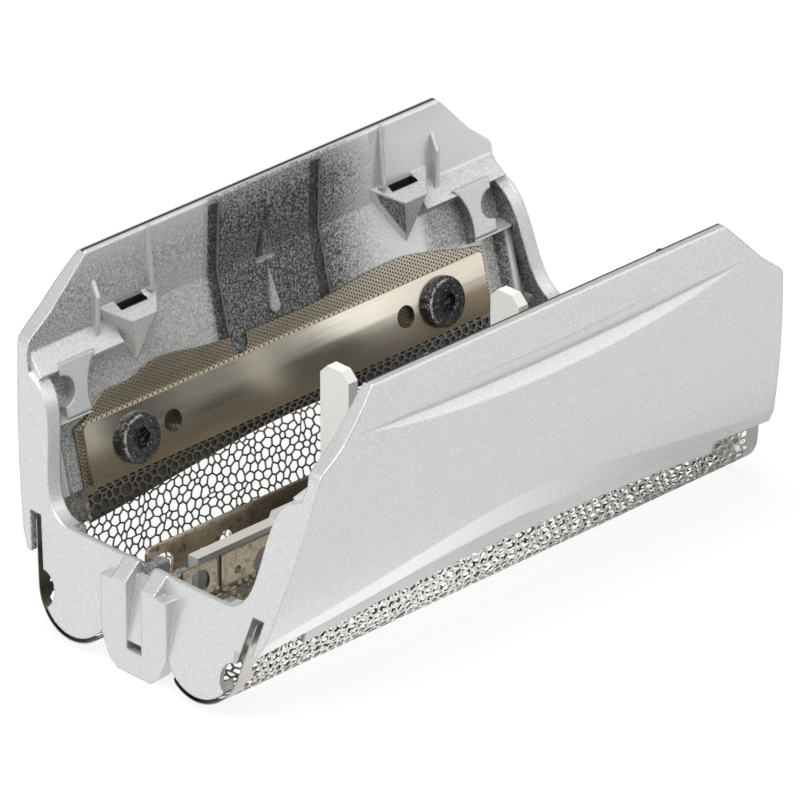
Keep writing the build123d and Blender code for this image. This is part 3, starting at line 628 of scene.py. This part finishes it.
@dataclass(frozen=True)
class FoilSteel(Finish):
    """Thin bright sheet with painted shade inside its roll and behind the strips' holes, and a fine
    dotted etch on its upper flank.
    """

    bright: Colour = (0.60, 0.55, 0.47, 1.0)
    dark: Colour = (0.38, 0.33, 0.26, 1.0)
    outer_bright: Colour = (0.52, 0.51, 0.47, 1.0)
    outer_dark: Colour = (0.41, 0.40, 0.36, 1.0)
    rolled_stretch: Place = (0.25, 3.0, 3.0)
    rolled: Noise = Noise(1.0, 3.0)
    rolled_rough: float = 0.12
    rough: float = 0.26

    # Painted shade on the inner side of the roll, less of it higher up; the roll's axis is given as
    # Y and Z
    inner: Colour = (0.045, 0.038, 0.03, 1.0)
    inner_share: float = 0.8
    inner_turn: Span = (-1.2, 1.2)
    inner_lit_z: Span = (6.6, 8.2)
    inner_lit: float = 0.8
    axis: Spot = (7.06, 5.0)

    # Etched dots
    dot: Colour = (0.10, 0.085, 0.06, 1.0)
    dot_pitch: float = 0.28
    dot_span: Span = (0.0, 1.6)
    dot_rough: float = 0.2
    dot_relief: Relief = (0.35, 0.04)
    etch_from: float = 9.3
    etch_fade: float = 0.2

    # Painted shade on the foil behind the strips' locating holes, whose middles are given as X and
    # Z
    hole_spot: Spot = (13.05, 11.77)
    hole_radius: float = 1.1
    hole_share: float = 0.85

    def surface(self, graph: Graph) -> Sockets:
        """Return the sockets of rolled steel with etched dots above the perforated part."""
        point = graph.millimetres()
        x, y, z = graph.split(point)
        _, ny, nz = graph.split(graph.get("ShaderNodeNewGeometry", None, None, "Normal"))
        rolled = graph.noise(graph.stretched(point, self.rolled_stretch), self.rolled)
        etch_free = z.below(self.etch_from)
        # Painted shade on the roll's inner side, facing its axis, less of it higher up
        outwards = ny * y.math("SIGN") * (abs(y) - self.axis[0]) + nz * (z - self.axis[1])
        hollow = 1.0 - outwards.ease(*self.inner_turn)
        hollow = hollow * (1.0 - z.ease(*self.inner_lit_z) * self.inner_lit)
        flank = graph.blend(rolled, self.dark, self.bright)
        outer = graph.blend(rolled, self.outer_dark, self.outer_bright)
        plain = graph.blend(etch_free, flank, outer)
        plain = graph.blend(hollow * etch_free * self.inner_share, plain, self.inner)
        dots = self.lattice(x, z).ease(*self.dot_span)
        dots = dots * z.ease(self.etch_from, self.etch_from + self.etch_fade)
        etched = graph.blend(dots, plain, self.dot)
        # Painted shade behind the strips' locating holes
        off_x = abs(x) - self.hole_spot[0]
        off_z = z - self.hole_spot[1]
        behind = off_x.reach(off_z).below(self.hole_radius)
        return {
            "Base Color": graph.blend(behind * self.hole_share, etched, self.inner),
            "Metallic": 1.0,
            "Roughness": rolled * self.rolled_rough + self.rough + dots * self.dot_rough,
            "Normal": graph.bump(1.0 - dots, self.dot_relief),
        }

    def lattice(self, x: Field, z: Field) -> Field:
        """Return a wave that peaks on a staggered lattice of the dots' pitch."""
        turn = 2.0 * math.pi / self.dot_pitch
        across = (x * (turn / 2.0)).math("COSINE")
        upwards = (z * (turn * math.sqrt(3.0) / 2.0)).math("COSINE")
        return (x * turn).math("COSINE") + across * upwards * 2.0


@dataclass(frozen=True)
class RolledSteel(Finish):
    """Nickel-bright strip with streaks along its length."""

    bright: Colour = (0.66, 0.625, 0.55, 1.0)
    dull: Colour = (0.59, 0.55, 0.465, 1.0)
    rough: float = 0.13
    streak_stretch: Place = (0.15, 5.0, 5.0)
    streaks: Noise = Noise(1.0, 4.0, 0.6)
    streak_span: Span = (0.3, 0.7)
    streak_rough: float = 0.05
    streak_relief: Relief = (0.02, 0.03)
    clouds: Noise = Noise(0.35)
    cloud_rough: float = 0.06

    # Tarnish in scattered spots, and the same colour darkening the strip low down towards both ends
    stain: Colour = (0.22, 0.165, 0.10, 1.0)
    stain_rough: float = 0.2
    stained: float = 0.0
    spots: Noise = Noise(1.3, 4.0, 0.65)
    stain_span: Span = (0.48, 0.72)
    end_stained: float = 0.0
    left_x: Span = (-21.0, -8.0)
    left_z: Span = (10.6, 13.4)
    left_share: float = 0.5
    right_x: Span = (6.0, 17.0)
    right_z: Span = (11.2, 12.4)
    right_share: float = 0.6
    right_least: float = 0.25

    # Painted light: a paler colour on the rear side towards the left end
    clean: Colour = (0.90, 0.80, 0.64, 1.0)
    clean_x: Span = (-22.0, -10.0)
    clean_y: Span = (0.2, 0.8)
    rear_clean: float = 0.0

    # Fold along the sheet, in the normal only, and how far the part above it seems to lean back
    fold_z: float = 12.4
    fold_soft: float = 0.35
    fold_slope: float = 0.0

    def surface(self, graph: Graph) -> Sockets:
        """Return the sockets of streaked metal."""
        point = graph.millimetres()
        x, y, z = graph.split(point)
        streak = graph.noise(graph.stretched(point, self.streak_stretch), self.streaks)
        cloud = graph.noise(point, self.clouds)
        colour = graph.blend(streak.ease(*self.streak_span), self.dull, self.bright)
        # Painted light: paler rear side towards the left end
        rear = y.ease(*self.clean_y) * (1.0 - x.ease(*self.clean_x)) * self.rear_clean
        colour = graph.blend(rear, colour, self.clean)
        tarnish = graph.noise(point, self.spots).ease(*self.stain_span) * self.stained
        # Darker low down towards both ends
        left = (1.0 - x.ease(*self.left_x)) * (1.0 - z.ease(*self.left_z)) * self.left_share
        low = (1.0 - z.ease(*self.right_z)) * self.right_share + self.right_least
        right = x.ease(*self.right_x) * low
        tarnish = tarnish.most(left.most(right) * self.end_stained)
        metal_rough = streak * self.streak_rough + cloud * self.cloud_rough + self.rough
        return {
            "Base Color": graph.blend(tarnish, colour, self.stain),
            "Metallic": 1.0,
            "Roughness": metal_rough + tarnish * self.stain_rough,
            "Normal": graph.bump(streak, self.streak_relief, self.folded(graph, z)),
        }

    def folded(self, graph: Graph, z: Field) -> Field:
        """Return a normal that shades the part above the fold as if it leaned back.

        Args:
            graph: the shader's tree.
            z: height.

        Returns:
            The normal.
        """
        over = z - self.fold_z
        ramp = over + over.reach(self.fold_soft)
        return graph.bump(ramp * (-0.5 * self.fold_slope), TRUE_RELIEF)


@dataclass(frozen=True)
class DustyBlack(Finish):
    """Glossy, pitted black with pale dusty specks in its pores and a painted highlight in a
    crescent on its rim.
    """

    black: Colour = (0.007, 0.007, 0.007, 1.0)
    dust: Colour = (0.42, 0.41, 0.39, 1.0)
    rough: float = 0.1
    gloss: float = 0.6
    pits: Noise = Noise(2.2, fine=0.55)
    pit_relief: Relief = (1.0, 0.6)
    specks: Noise = Noise(7.0, fine=0.6)
    dust_span: Span = (0.60, 0.72)
    dust_share: float = 0.14
    dust_rough: float = 0.3

    # Painted highlight: a pale crescent round each head's rim, on its side towards lower X and
    # higher Z; the head's middle is given as X and Z
    head_spot: Spot = (17.1, 11.96)
    worn_from: Span = (1.70, 1.80)
    worn_to: Span = (1.94, 2.02)
    worn_rise: float = 0.6
    worn_side: Span = (0.2, 1.5)
    worn_pits: Span = (0.36, 0.46)
    worn_share: float = 0.8

    def surface(self, graph: Graph) -> Sockets:
        """Return the sockets of pitted gloss."""
        point = graph.millimetres()
        pits = graph.noise(point, self.pits)
        dusty = graph.noise(point, self.specks).ease(*self.dust_span) * self.dust_share
        x, _, z = graph.split(point)
        off_x = x - x.math("SIGN") * self.head_spot[0]
        off_z = z - self.head_spot[1]
        reach = off_x.reach(off_z)
        # Painted highlight: a crescent on each head's rim
        rim = reach.ease(*self.worn_from) * (1.0 - reach.ease(*self.worn_to))
        side = (off_x * -1.0 + off_z * self.worn_rise).ease(*self.worn_side)
        worn = rim * side * pits.ease(*self.worn_pits) * self.worn_share
        return {
            "Base Color": graph.blend(dusty.most(worn), self.black, self.dust),
            "Roughness": dusty * self.dust_rough + self.rough,
            "Specular IOR Level": self.gloss,
            "Normal": graph.bump(pits, self.pit_relief),
        }


@dataclass(frozen=True)
class SatinPlastic(Finish):
    """Moulded plastic with faint clouds and a fine grain, with painted shade below a height."""

    light: Colour = (0.72, 0.715, 0.68, 1.0)
    shade: Colour = (0.65, 0.645, 0.615, 1.0)
    rough: float = 0.42
    # Painted shade below a height
    soil: Colour = (0.30, 0.29, 0.27, 1.0)
    soil_z: float = -10.0
    soil_fade: float = 1.2
    soil_share: float = 0.75
    clouds: Noise = Noise(0.5, 3.0)
    grain: Noise = Noise(8.0)
    grain_rough: float = 0.1
    grain_relief: Relief = (0.06, 0.03)

    def surface(self, graph: Graph) -> Sockets:
        """Return the sockets of satin plastic."""
        point = graph.millimetres()
        cloud = graph.noise(point, self.clouds)
        grain = graph.noise(point, self.grain)
        clean = graph.blend(cloud, self.shade, self.light)
        _, _, z = graph.split(point)
        # Painted shade below the height, its edge broken by the clouds
        soiled = 1.0 - (z + cloud).ease(self.soil_z, self.soil_z + self.soil_fade)
        return {
            "Base Color": graph.blend(soiled * self.soil_share, clean, self.soil),
            "Roughness": grain * self.grain_rough + self.rough,
            "Normal": graph.bump(grain, self.grain_relief),
        }


class Bench:
    """Helpers that place meshes and finishes in the scene."""

    @staticmethod
    def dress(node: str, material: bpy.types.Material) -> None:
        """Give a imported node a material.

        Args:
            node: name of the node.
            material: the material for all its faces.
        """
        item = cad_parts[node]
        for slot in item.material_slots:
            slot.material = material
        LOG.info("dressed %s with %s", node, material.name)

    @staticmethod
    def place(name: str, data: bpy.types.ID) -> bpy.types.Object:
        """Return a new object at the origin for a mesh, a lamp or a camera."""
        item = bpy.data.objects.new(name, data)
        bpy.context.scene.collection.objects.link(item)
        return item


class Side(Enum):
    """The two long sides of the head."""

    REAR = 1
    FRONT = -1


# Width of the bars between the holes, and the seed that each side's value is added to
MESH_BARS = {Side.REAR: 0.15, Side.FRONT: 0.22}
MESH_SEED = 11

# Inputs of the sheet's tree that are plain numbers
SHEET_SIZES = ("Half Length", "Start", "End", "Pitch", "Jitter", "Bar", "End Margin")
SHEET_SIZES += ("Thickness", "Turn", "Slope", "Inner Cut")

ROW_SHARE = math.sqrt(3.0) / 2.0  # rows to columns in a lattice of even triangles
CELL_AREA = 3.3  # area of a cell whose inner radius is 1
LEAST_HOLE = 0.2  # smallest hole, as a share of its cell
SHARP_BEND = 0.6  # radians between faces that aren't shaded as one
WELD = 0.001  # distance that joins the sheet's two sides
FLANK_WELD = 0.0005
FLAT_BEND = 0.01  # radians between faces that become one


@dataclass
class Foil:
    """One perforated foil: an etched sheet rolled at the bottom, with its plain flank above."""

    side: Side
    node: str
    bar: float
    seed: int
    axis_y: float = 7.06
    axis_z: float = 5.0
    radius: float = 4.45
    lean: float = math.radians(14.0)
    thick: float = 0.09
    inner_top: float = 5.6
    step_z: float = 8.8
    seam_z: float = 9.45
    end_reach: float = 29.95
    end_slope: float = 0.19
    inner_cut: float = 1.3
    inner_cut_span: Span = (3.8, 5.0)
    flank_half: float = 22.9
    flank_jitter: float = 0.05
    flank_bar: float = 0.2
    pitch: float = 0.86
    jitter: float = 0.46
    end_margin: float = 1.3

    @property
    def rise(self) -> float:
        """Return the inner flank's height over the axis."""
        return self.inner_top - self.axis_z

    @property
    def arc(self) -> float:
        """Return the way round the rolled part."""
        return self.radius * (math.pi - self.lean)

    def developed(self, height: float) -> float:
        """Return the way along the sheet, from the inner top, to a height on the outer flank."""
        flank_start = self.axis_z - self.radius * math.sin(self.lean)
        return self.rise + self.arc + (height - flank_start) / math.cos(self.lean)

    def sheet_tree(self) -> bpy.types.NodeTree:
        """Build the tree that etches a flat sheet and rolls it to the foil's section.

        Returns:
            The geometry tree, whose inputs are the sheet's sizes.
        """
        tree = bpy.data.node_groups.new("etched_sheet", "GeometryNodeTree")
        tree.interface.new_socket("Geometry", in_out="OUTPUT", socket_type="NodeSocketGeometry")
        inputs = {name: "NodeSocketFloat" for name in SHEET_SIZES}
        inputs |= {"Seed": "NodeSocketInt", "Finish": "NodeSocketMaterial"}
        for name, kind in inputs.items():
            tree.interface.new_socket(name, in_out="INPUT", socket_type=kind)
        graph = Graph(tree)
        given = graph.add("NodeGroupInput")
        size = {socket.name: Field(graph, socket) for socket in given.outputs if socket.name}
        flat = self.etched_cells(graph, size)
        rolled = self.rolled(graph, size, flat)
        solid = self.thickened(graph, size, rolled)
        final = graph.get(
            "GeometryNodeSetMaterial", None, {"Geometry": solid, "Material": size["Finish"]}
        )
        graph.add("NodeGroupOutput", None, {"Geometry": final})
        return tree

    @staticmethod
    def etched_cells(graph: Graph, size: Sizes) -> Field:
        """Add the flat sheet of cells with a hole in each.

        Args:
            graph: the tree.
            size: the tree's inputs.

        Returns:
            The flat mesh, X along the foil and Y round it.
        """
        half, pitch = size["Half Length"], size["Pitch"]
        length = half * 2.0
        width = size["End"] - size["Start"]
        columns = (length / pitch).math("ROUND") + 1.0
        row_pitch = pitch * ROW_SHARE
        rows = (width / row_pitch).math("ROUND") + 1.0
        grid = graph.get(
            "GeometryNodeMeshGrid",
            None,
            {"Size X": length, "Size Y": width, "Vertices X": columns, "Vertices Y": rows},
        )
        x, y, _ = graph.split(graph.get("GeometryNodeInputPosition"))
        row = ((y / width + 0.5) * (rows - 1.0)).math("ROUND")
        stagger = (row.math("MODULO", 2.0) - 0.5) * pitch * 0.5
        stray = graph.get(
            "FunctionNodeRandomValue",
            {"data_type": "FLOAT_VECTOR"},
            {"Min": (-1.0, -1.0, 0.0), "Max": (1.0, 1.0, 0.0), "Seed": size["Seed"]},
        )
        stray_x, stray_y, _ = graph.split(stray)
        reach = size["Jitter"] * pitch
        inner = abs(x).below(half - pitch * 0.5) * abs(y).below((width - row_pitch) * 0.5)
        offset = graph.join(stagger + stray_x * reach, stray_y * reach, 0.0)
        moved = graph.get(
            "GeometryNodeSetPosition",
            None,
            {"Geometry": grid, "Selection": inner, "Offset": offset},
        )
        threes = graph.get(
            "GeometryNodeTriangulate", {"quad_method": "SHORTEST_DIAGONAL"}, {"Mesh": moved}
        )
        cells = graph.get("GeometryNodeDualMesh", None, {"Mesh": threes, "Keep Boundaries": True})
        holed = abs(x).below(half - size["End Margin"])
        inset = graph.add(
            "GeometryNodeExtrudeMesh",
            {"mode": "FACES"},
            {"Mesh": cells, "Selection": holed, "Offset Scale": 0.0, "Individual": True},
        )
        hole = graph.output(inset, "Top")
        inner_radius = (graph.get("GeometryNodeInputMeshFaceArea") / CELL_AREA).math("SQRT")
        scale = (1.0 - size["Bar"] * 0.5 / inner_radius).most(LEAST_HOLE)
        shrunk = graph.get(
            "GeometryNodeScaleElements",
            {"domain": "FACE"},
            {"Geometry": graph.output(inset, "Mesh"), "Selection": hole, "Scale": scale},
        )
        return graph.get(
            "GeometryNodeDeleteGeometry",
            {"domain": "FACE"},
            {"Geometry": shrunk, "Selection": hole},
        )

    def rolled(self, graph: Graph, size: Sizes, flat: Field) -> Field:
        """Add the nodes that wrap the flat sheet round the foil's section.

        Args:
            graph: the tree.
            size: the tree's inputs.
            flat: the flat mesh.

        Returns:
            The wrapped mesh, in metres.
        """
        rise, arc = self.rise, self.arc
        x, y, _ = graph.split(graph.get("GeometryNodeInputPosition"))
        way = y + (size["Start"] + size["End"]) * 0.5
        down = way.least(rise)
        angle = (way - rise).most(0.0).least(arc) / self.radius
        up = (way - (rise + arc)).most(0.0)
        round_y = up * math.sin(self.lean) - angle.math("COSINE") * self.radius + self.axis_y
        round_z = up * math.cos(self.lean) - angle.math("SINE") * self.radius
        round_z = round_z + (self.axis_z + rise) - down
        short = (1.0 - way.ease(*self.inner_cut_span)) * size["Inner Cut"]
        half = size["Half Length"] - round_z * size["Slope"] - short
        along = x * half / size["Half Length"]
        turned = graph.join(along * size["Turn"], round_y * size["Turn"], round_z)
        return graph.get(
            "GeometryNodeSetPosition",
            None,
            {"Geometry": flat, "Position": graph.scaled(turned, MM)},
        )

    @staticmethod
    def thickened(graph: Graph, size: Sizes, sheet: Field) -> Field:
        """Add the nodes that give the sheet its thickness, inwards from its outer face.

        Args:
            graph: the tree.
            size: the tree's inputs.
            sheet: the wrapped mesh.

        Returns:
            The closed mesh.
        """
        inner = graph.get(
            "GeometryNodeExtrudeMesh",
            {"mode": "FACES"},
            {"Mesh": sheet, "Offset Scale": size["Thickness"] * MM, "Individual": False},
        )
        outer = graph.get("GeometryNodeFlipFaces", None, {"Mesh": sheet})
        both = graph.add("GeometryNodeJoinGeometry")
        for part in (outer, inner):
            graph.tree.links.new(part.socket, both.inputs[0])
        closed = graph.get(
            "GeometryNodeMergeByDistance",
            None,
            {"Geometry": graph.output(both), "Distance": WELD * MM},
        )
        smooth = graph.get(
            "GeometryNodeSetShadeSmooth",
            {"domain": "FACE"},
            {"Geometry": closed, "Shade Smooth": True},
        )
        bend = graph.get("GeometryNodeInputMeshEdgeAngle", None, None, "Unsigned Angle")
        return graph.get(
            "GeometryNodeSetShadeSmooth",
            {"domain": "EDGE"},
            {"Geometry": smooth, "Selection": bend.above(SHARP_BEND), "Shade Smooth": False},
        )

    def etched_mesh(
        self, tree: bpy.types.NodeTree, finish: bpy.types.Material, sizes: Mapping[str, float]
    ) -> bpy.types.Mesh:
        """Run the tree for one band of the sheet.

        Args:
            tree: the geometry tree.
            finish: the material that it sets.
            sizes: the band's own inputs, by name.

        Returns:
            A plain mesh.
        """
        carrier = Bench.place("etched_carrier", bpy.data.meshes.new("etched_carrier"))
        modifier = carrier.modifiers.new("etch", "NODES")
        modifier.node_group = tree
        inputs = {"Pitch": self.pitch, "Jitter": self.jitter, "Bar": self.bar, "Seed": self.seed}
        inputs |= {"End Margin": self.end_margin, "Thickness": self.thick, "Finish": finish}
        inputs |= {"Turn": float(self.side.value), **sizes}
        for item in tree.interface.items_tree:
            if item.in_out == "INPUT":
                modifier[item.identifier] = inputs[item.name]
        bpy.context.view_layer.update()
        evaluated = carrier.evaluated_get(bpy.context.evaluated_depsgraph_get())
        mesh = bpy.data.meshes.new_from_object(evaluated)
        bpy.data.objects.remove(carrier)
        return mesh

    def flank_mesh(self) -> bmesh.types.BMesh:
        """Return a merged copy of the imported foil's plain flank above the seam."""
        plate = bmesh.new()
        plate.from_mesh(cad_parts[self.node].data)
        bmesh.ops.remove_doubles(plate, verts=plate.verts, dist=FLANK_WELD * MM)
        bmesh.ops.bisect_plane(
            plate,
            geom=[*plate.verts, *plate.edges, *plate.faces],
            plane_co=(0.0, 0.0, self.seam_z * MM),
            plane_no=(0.0, 0.0, 1.0),
            clear_inner=True,
        )
        whole = {"verts": plate.verts, "edges": plate.edges}
        bmesh.ops.dissolve_limit(plate, angle_limit=FLAT_BEND, **whole)
        return plate

    def build(self, finish: bpy.types.Material) -> bpy.types.Object:
        """Make the foil and let it stand for its node.

        Args:
            finish: the steel of the foil.

        Returns:
            The finished piece.
        """
        tree = self.sheet_tree()
        step = self.developed(self.step_z)
        roll = {"Half Length": self.end_reach, "Start": 0.0, "End": step}
        roll |= {"Slope": self.end_slope, "Inner Cut": self.inner_cut}
        flank = {"Half Length": self.flank_half, "Start": step, "End": self.developed(self.seam_z)}
        flank |= {"Slope": 0.0, "Inner Cut": 0.0}
        flank |= {"Jitter": self.flank_jitter, "Bar": self.flank_bar}
        whole = self.flank_mesh()
        for face in whole.faces:
            face.material_index = 0
        for sizes in (roll, flank):
            whole.from_mesh(self.etched_mesh(tree, finish, sizes))
        mesh = bpy.data.meshes.new(f"{self.node}_etched")
        whole.to_mesh(mesh)
        whole.free()
        mesh.materials.append(finish)
        piece = Bench.place(f"{self.node}_etched", mesh)
        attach(piece, "head")
        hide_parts(self.node)
        LOG.info("built %s with %d faces", piece.name, len(mesh.polygons))
        return piece


@dataclass
class MouldedFrame:
    """The one-piece moulding that carries everything."""

    node: str = "frame"

    def build(self) -> None:
        """Dress the moulding in sprayed paint."""
        Bench.dress(self.node, SilverPaint("sprayed_silver").material())


@dataclass
class FoilClamps:
    """The strips that hold the foils' flanks, and their rivets."""

    end_stained: float = 1.0
    fold_slope: float = 0.17

    def build(self) -> None:
        """Dress the strips and the rivets."""
        nickel = RolledSteel(
            "nickel_strip", end_stained=self.end_stained, fold_slope=self.fold_slope
        ).material()
        black = DustyBlack("dusty_black").material()
        for side in Side:
            Bench.dress(f"{side.name.lower()}_clamp_strip", nickel)
            Bench.dress(f"{side.name.lower()}_clamp_rivets", black)


@dataclass
class Trimmer:
    """The floating trimmer between the foils."""

    steel_bright: Colour = (0.44, 0.385, 0.30, 1.0)
    steel_dull: Colour = (0.34, 0.29, 0.22, 1.0)
    steel_rough: float = 0.2
    stained: float = 0.85
    rear_clean: float = 0.9
    # Height below which the driver takes painted shade, deep in the trough
    driver_soil_z: float = 9.2
    guide_light: Colour = grey(0.11)
    guide_shade: Colour = grey(0.08)
    guide_rough: float = 0.4

    def build(self) -> None:
        """Dress the comb, the blade, the end guides and the driver."""
        steel = RolledSteel(
            "trimmer_steel",
            self.steel_bright,
            self.steel_dull,
            self.steel_rough,
            stained=self.stained,
            rear_clean=self.rear_clean,
        ).material()
        white = SatinPlastic("off_white_plastic", soil_z=self.driver_soil_z).material()
        dark = SatinPlastic(
            "dark_plastic", self.guide_light, self.guide_shade, self.guide_rough
        ).material()
        for node in ("trimmer_comb", "trimmer_blade"):
            Bench.dress(node, steel)
        for node in ("right_end_guide", "left_end_guide"):
            Bench.dress(node, dark)
        Bench.dress("trimmer_driver", white)


@dataclass(frozen=True)
class Softbox:
    """A square lamp that faces the head, its power in watts."""

    name: str
    place: Place
    size: float
    power: float

    def hang(self, target: Place) -> None:
        """Put the lamp in the scene.

        Args:
            target: the place that it faces.
        """
        data = bpy.data.lights.new(self.name, "AREA")
        data.size = self.size * MM
        data.energy = self.power
        item = Bench.place(self.name, data)
        item.location = Vector(self.place) * MM
        toward = Vector(target) - Vector(self.place)
        item.rotation_euler = toward.to_track_quat("-Z", "Y").to_euler()


@dataclass
class Studio:
    """White floor, soft light and the camera."""

    softboxes: tuple[Softbox, ...] = (
        Softbox("softbox_top", (-150.0, -60.0, 620.0), 420.0, 4.0),
        Softbox("softbox_left", (-620.0, 160.0, 330.0), 380.0, 2.2),
        Softbox("softbox_front", (470.0, -480.0, 330.0), 620.0, 1.5),
    )

    # Camera
    azimuth: float = math.radians(44.625)
    elevation: float = math.radians(27.21)
    distance: float = 950.0
    target: Place = (0.0, 0.27, 13.61)
    pixels_per_mm: float = 12.547
    image_pixels: float = 800.0
    sensor: float = 36.0
    clip_start: float = 50.0

    # Floor, with a glow that is even to the camera and uneven in reflections
    floor_half: float = 1500.0
    floor_grey: float = 0.88
    white_share: float = 0.86
    bounce_share: float = 0.28
    spot_wide: Span = (14.0, 20.0)
    spot_long: Span = (-9.0, 26.0)
    spot_start: Span = (-29.0, -20.0)
    spot_left: float = 0.7
    spot_right: float = -0.4

    # Surroundings, brighter towards the ceiling
    ambient: float = 0.27
    ceiling: float = 0.25
    ceiling_span: Span = (-0.1, 0.9)

    def build(self) -> None:
        """Set up the floor, the lights, the surroundings and the camera."""
        self.camera()
        self.floor()
        self.surroundings()
        for softbox in self.softboxes:
            softbox.hang(self.target)
        bpy.context.scene.view_settings.view_transform = "Standard"

    def camera(self) -> None:
        """Place the camera at the photograph's viewing angle."""
        level = math.cos(self.elevation)
        back_x = -math.sin(self.azimuth) * level
        back_y = -math.cos(self.azimuth) * level
        back = Vector((back_x, back_y, math.sin(self.elevation)))
        data = bpy.data.cameras.new("camera")
        data.sensor_width = self.sensor
        data.lens = self.pixels_per_mm * self.distance / self.image_pixels * self.sensor
        data.clip_start = self.clip_start * MM
        item = Bench.place("camera", data)
        item.location = (Vector(self.target) + back * self.distance) * MM
        item.rotation_euler = (-back).to_track_quat("-Z", "Y").to_euler()
        bpy.context.scene.camera = item

    def floor(self) -> None:
        """Lay the white floor under the head."""
        plane = bmesh.new()
        bmesh.ops.create_grid(plane, x_segments=1, y_segments=1, size=self.floor_half * MM)
        mesh = bpy.data.meshes.new("floor")
        plane.to_mesh(mesh)
        plane.free()
        material = bpy.data.materials.new("white_floor")
        graph = Graph.fresh(material)
        ray = graph.add("ShaderNodeLightPath")
        camera = graph.output(ray, "Is Camera Ray")
        seen = camera
        for name in ("Is Glossy Ray", "Is Transmission Ray"):
            seen = seen.most(graph.output(ray, name))
        share = seen * (self.white_share - self.bounce_share) + self.bounce_share
        matt = graph.get("ShaderNodeBsdfDiffuse", None, {"Color": grey(self.floor_grey)})
        light = graph.neutral(self.floor_glow(graph, camera))
        glow = graph.get("ShaderNodeEmission", None, {"Color": light, "Strength": 1.0})
        mixed = graph.get("ShaderNodeMixShader", None, {0: share, 1: matt, 2: glow})
        graph.add("ShaderNodeOutputMaterial", None, {"Surface": mixed})
        mesh.materials.append(material)
        Bench.place("floor", mesh)

    def floor_glow(self, graph: Graph, camera: Field) -> Field:
        """Return the floor's own light.

        Args:
            graph: the floor's tree.
            camera: 1 for a ray from the camera.

        Returns:
            The level of the glow.
        """
        x, y, _ = graph.split(graph.millimetres())
        under = 1.0 - abs(y).ease(*self.spot_wide)
        along = self.spot_left - x.ease(*self.spot_long) * (self.spot_left - self.spot_right)
        return under * along * x.ease(*self.spot_start) * (1.0 - camera) + 1.0

    def surroundings(self) -> None:
        """Fill the room with soft light that grows towards the ceiling."""
        world = bpy.data.worlds.new("studio")
        graph = Graph.fresh(world)
        toward = graph.get("ShaderNodeTexCoord", None, None, "Generated")
        _, _, height = graph.split(toward)
        light = graph.neutral(height.ease(*self.ceiling_span) * self.ceiling + self.ambient)
        sky = graph.get("ShaderNodeBackground", None, {"Color": light, "Strength": 1.0})
        graph.add("ShaderNodeOutputWorld", None, {"Surface": sky})
        bpy.context.scene.world = world


def main() -> None:
    """Build the studio and each sub-assembly in order."""
    logging.basicConfig(level=logging.INFO, format="%(name)s: %(message)s")
    Studio().build()
    MouldedFrame().build()
    steel = FoilSteel("foil_steel").material()
    for side in Side:
        node = f"{side.name.lower()}_foil"
        Foil(side, node, MESH_BARS[side], MESH_SEED + side.value).build(steel)
    FoilClamps().build()
    Trimmer().build()


if __name__ == "__main__":
    main()
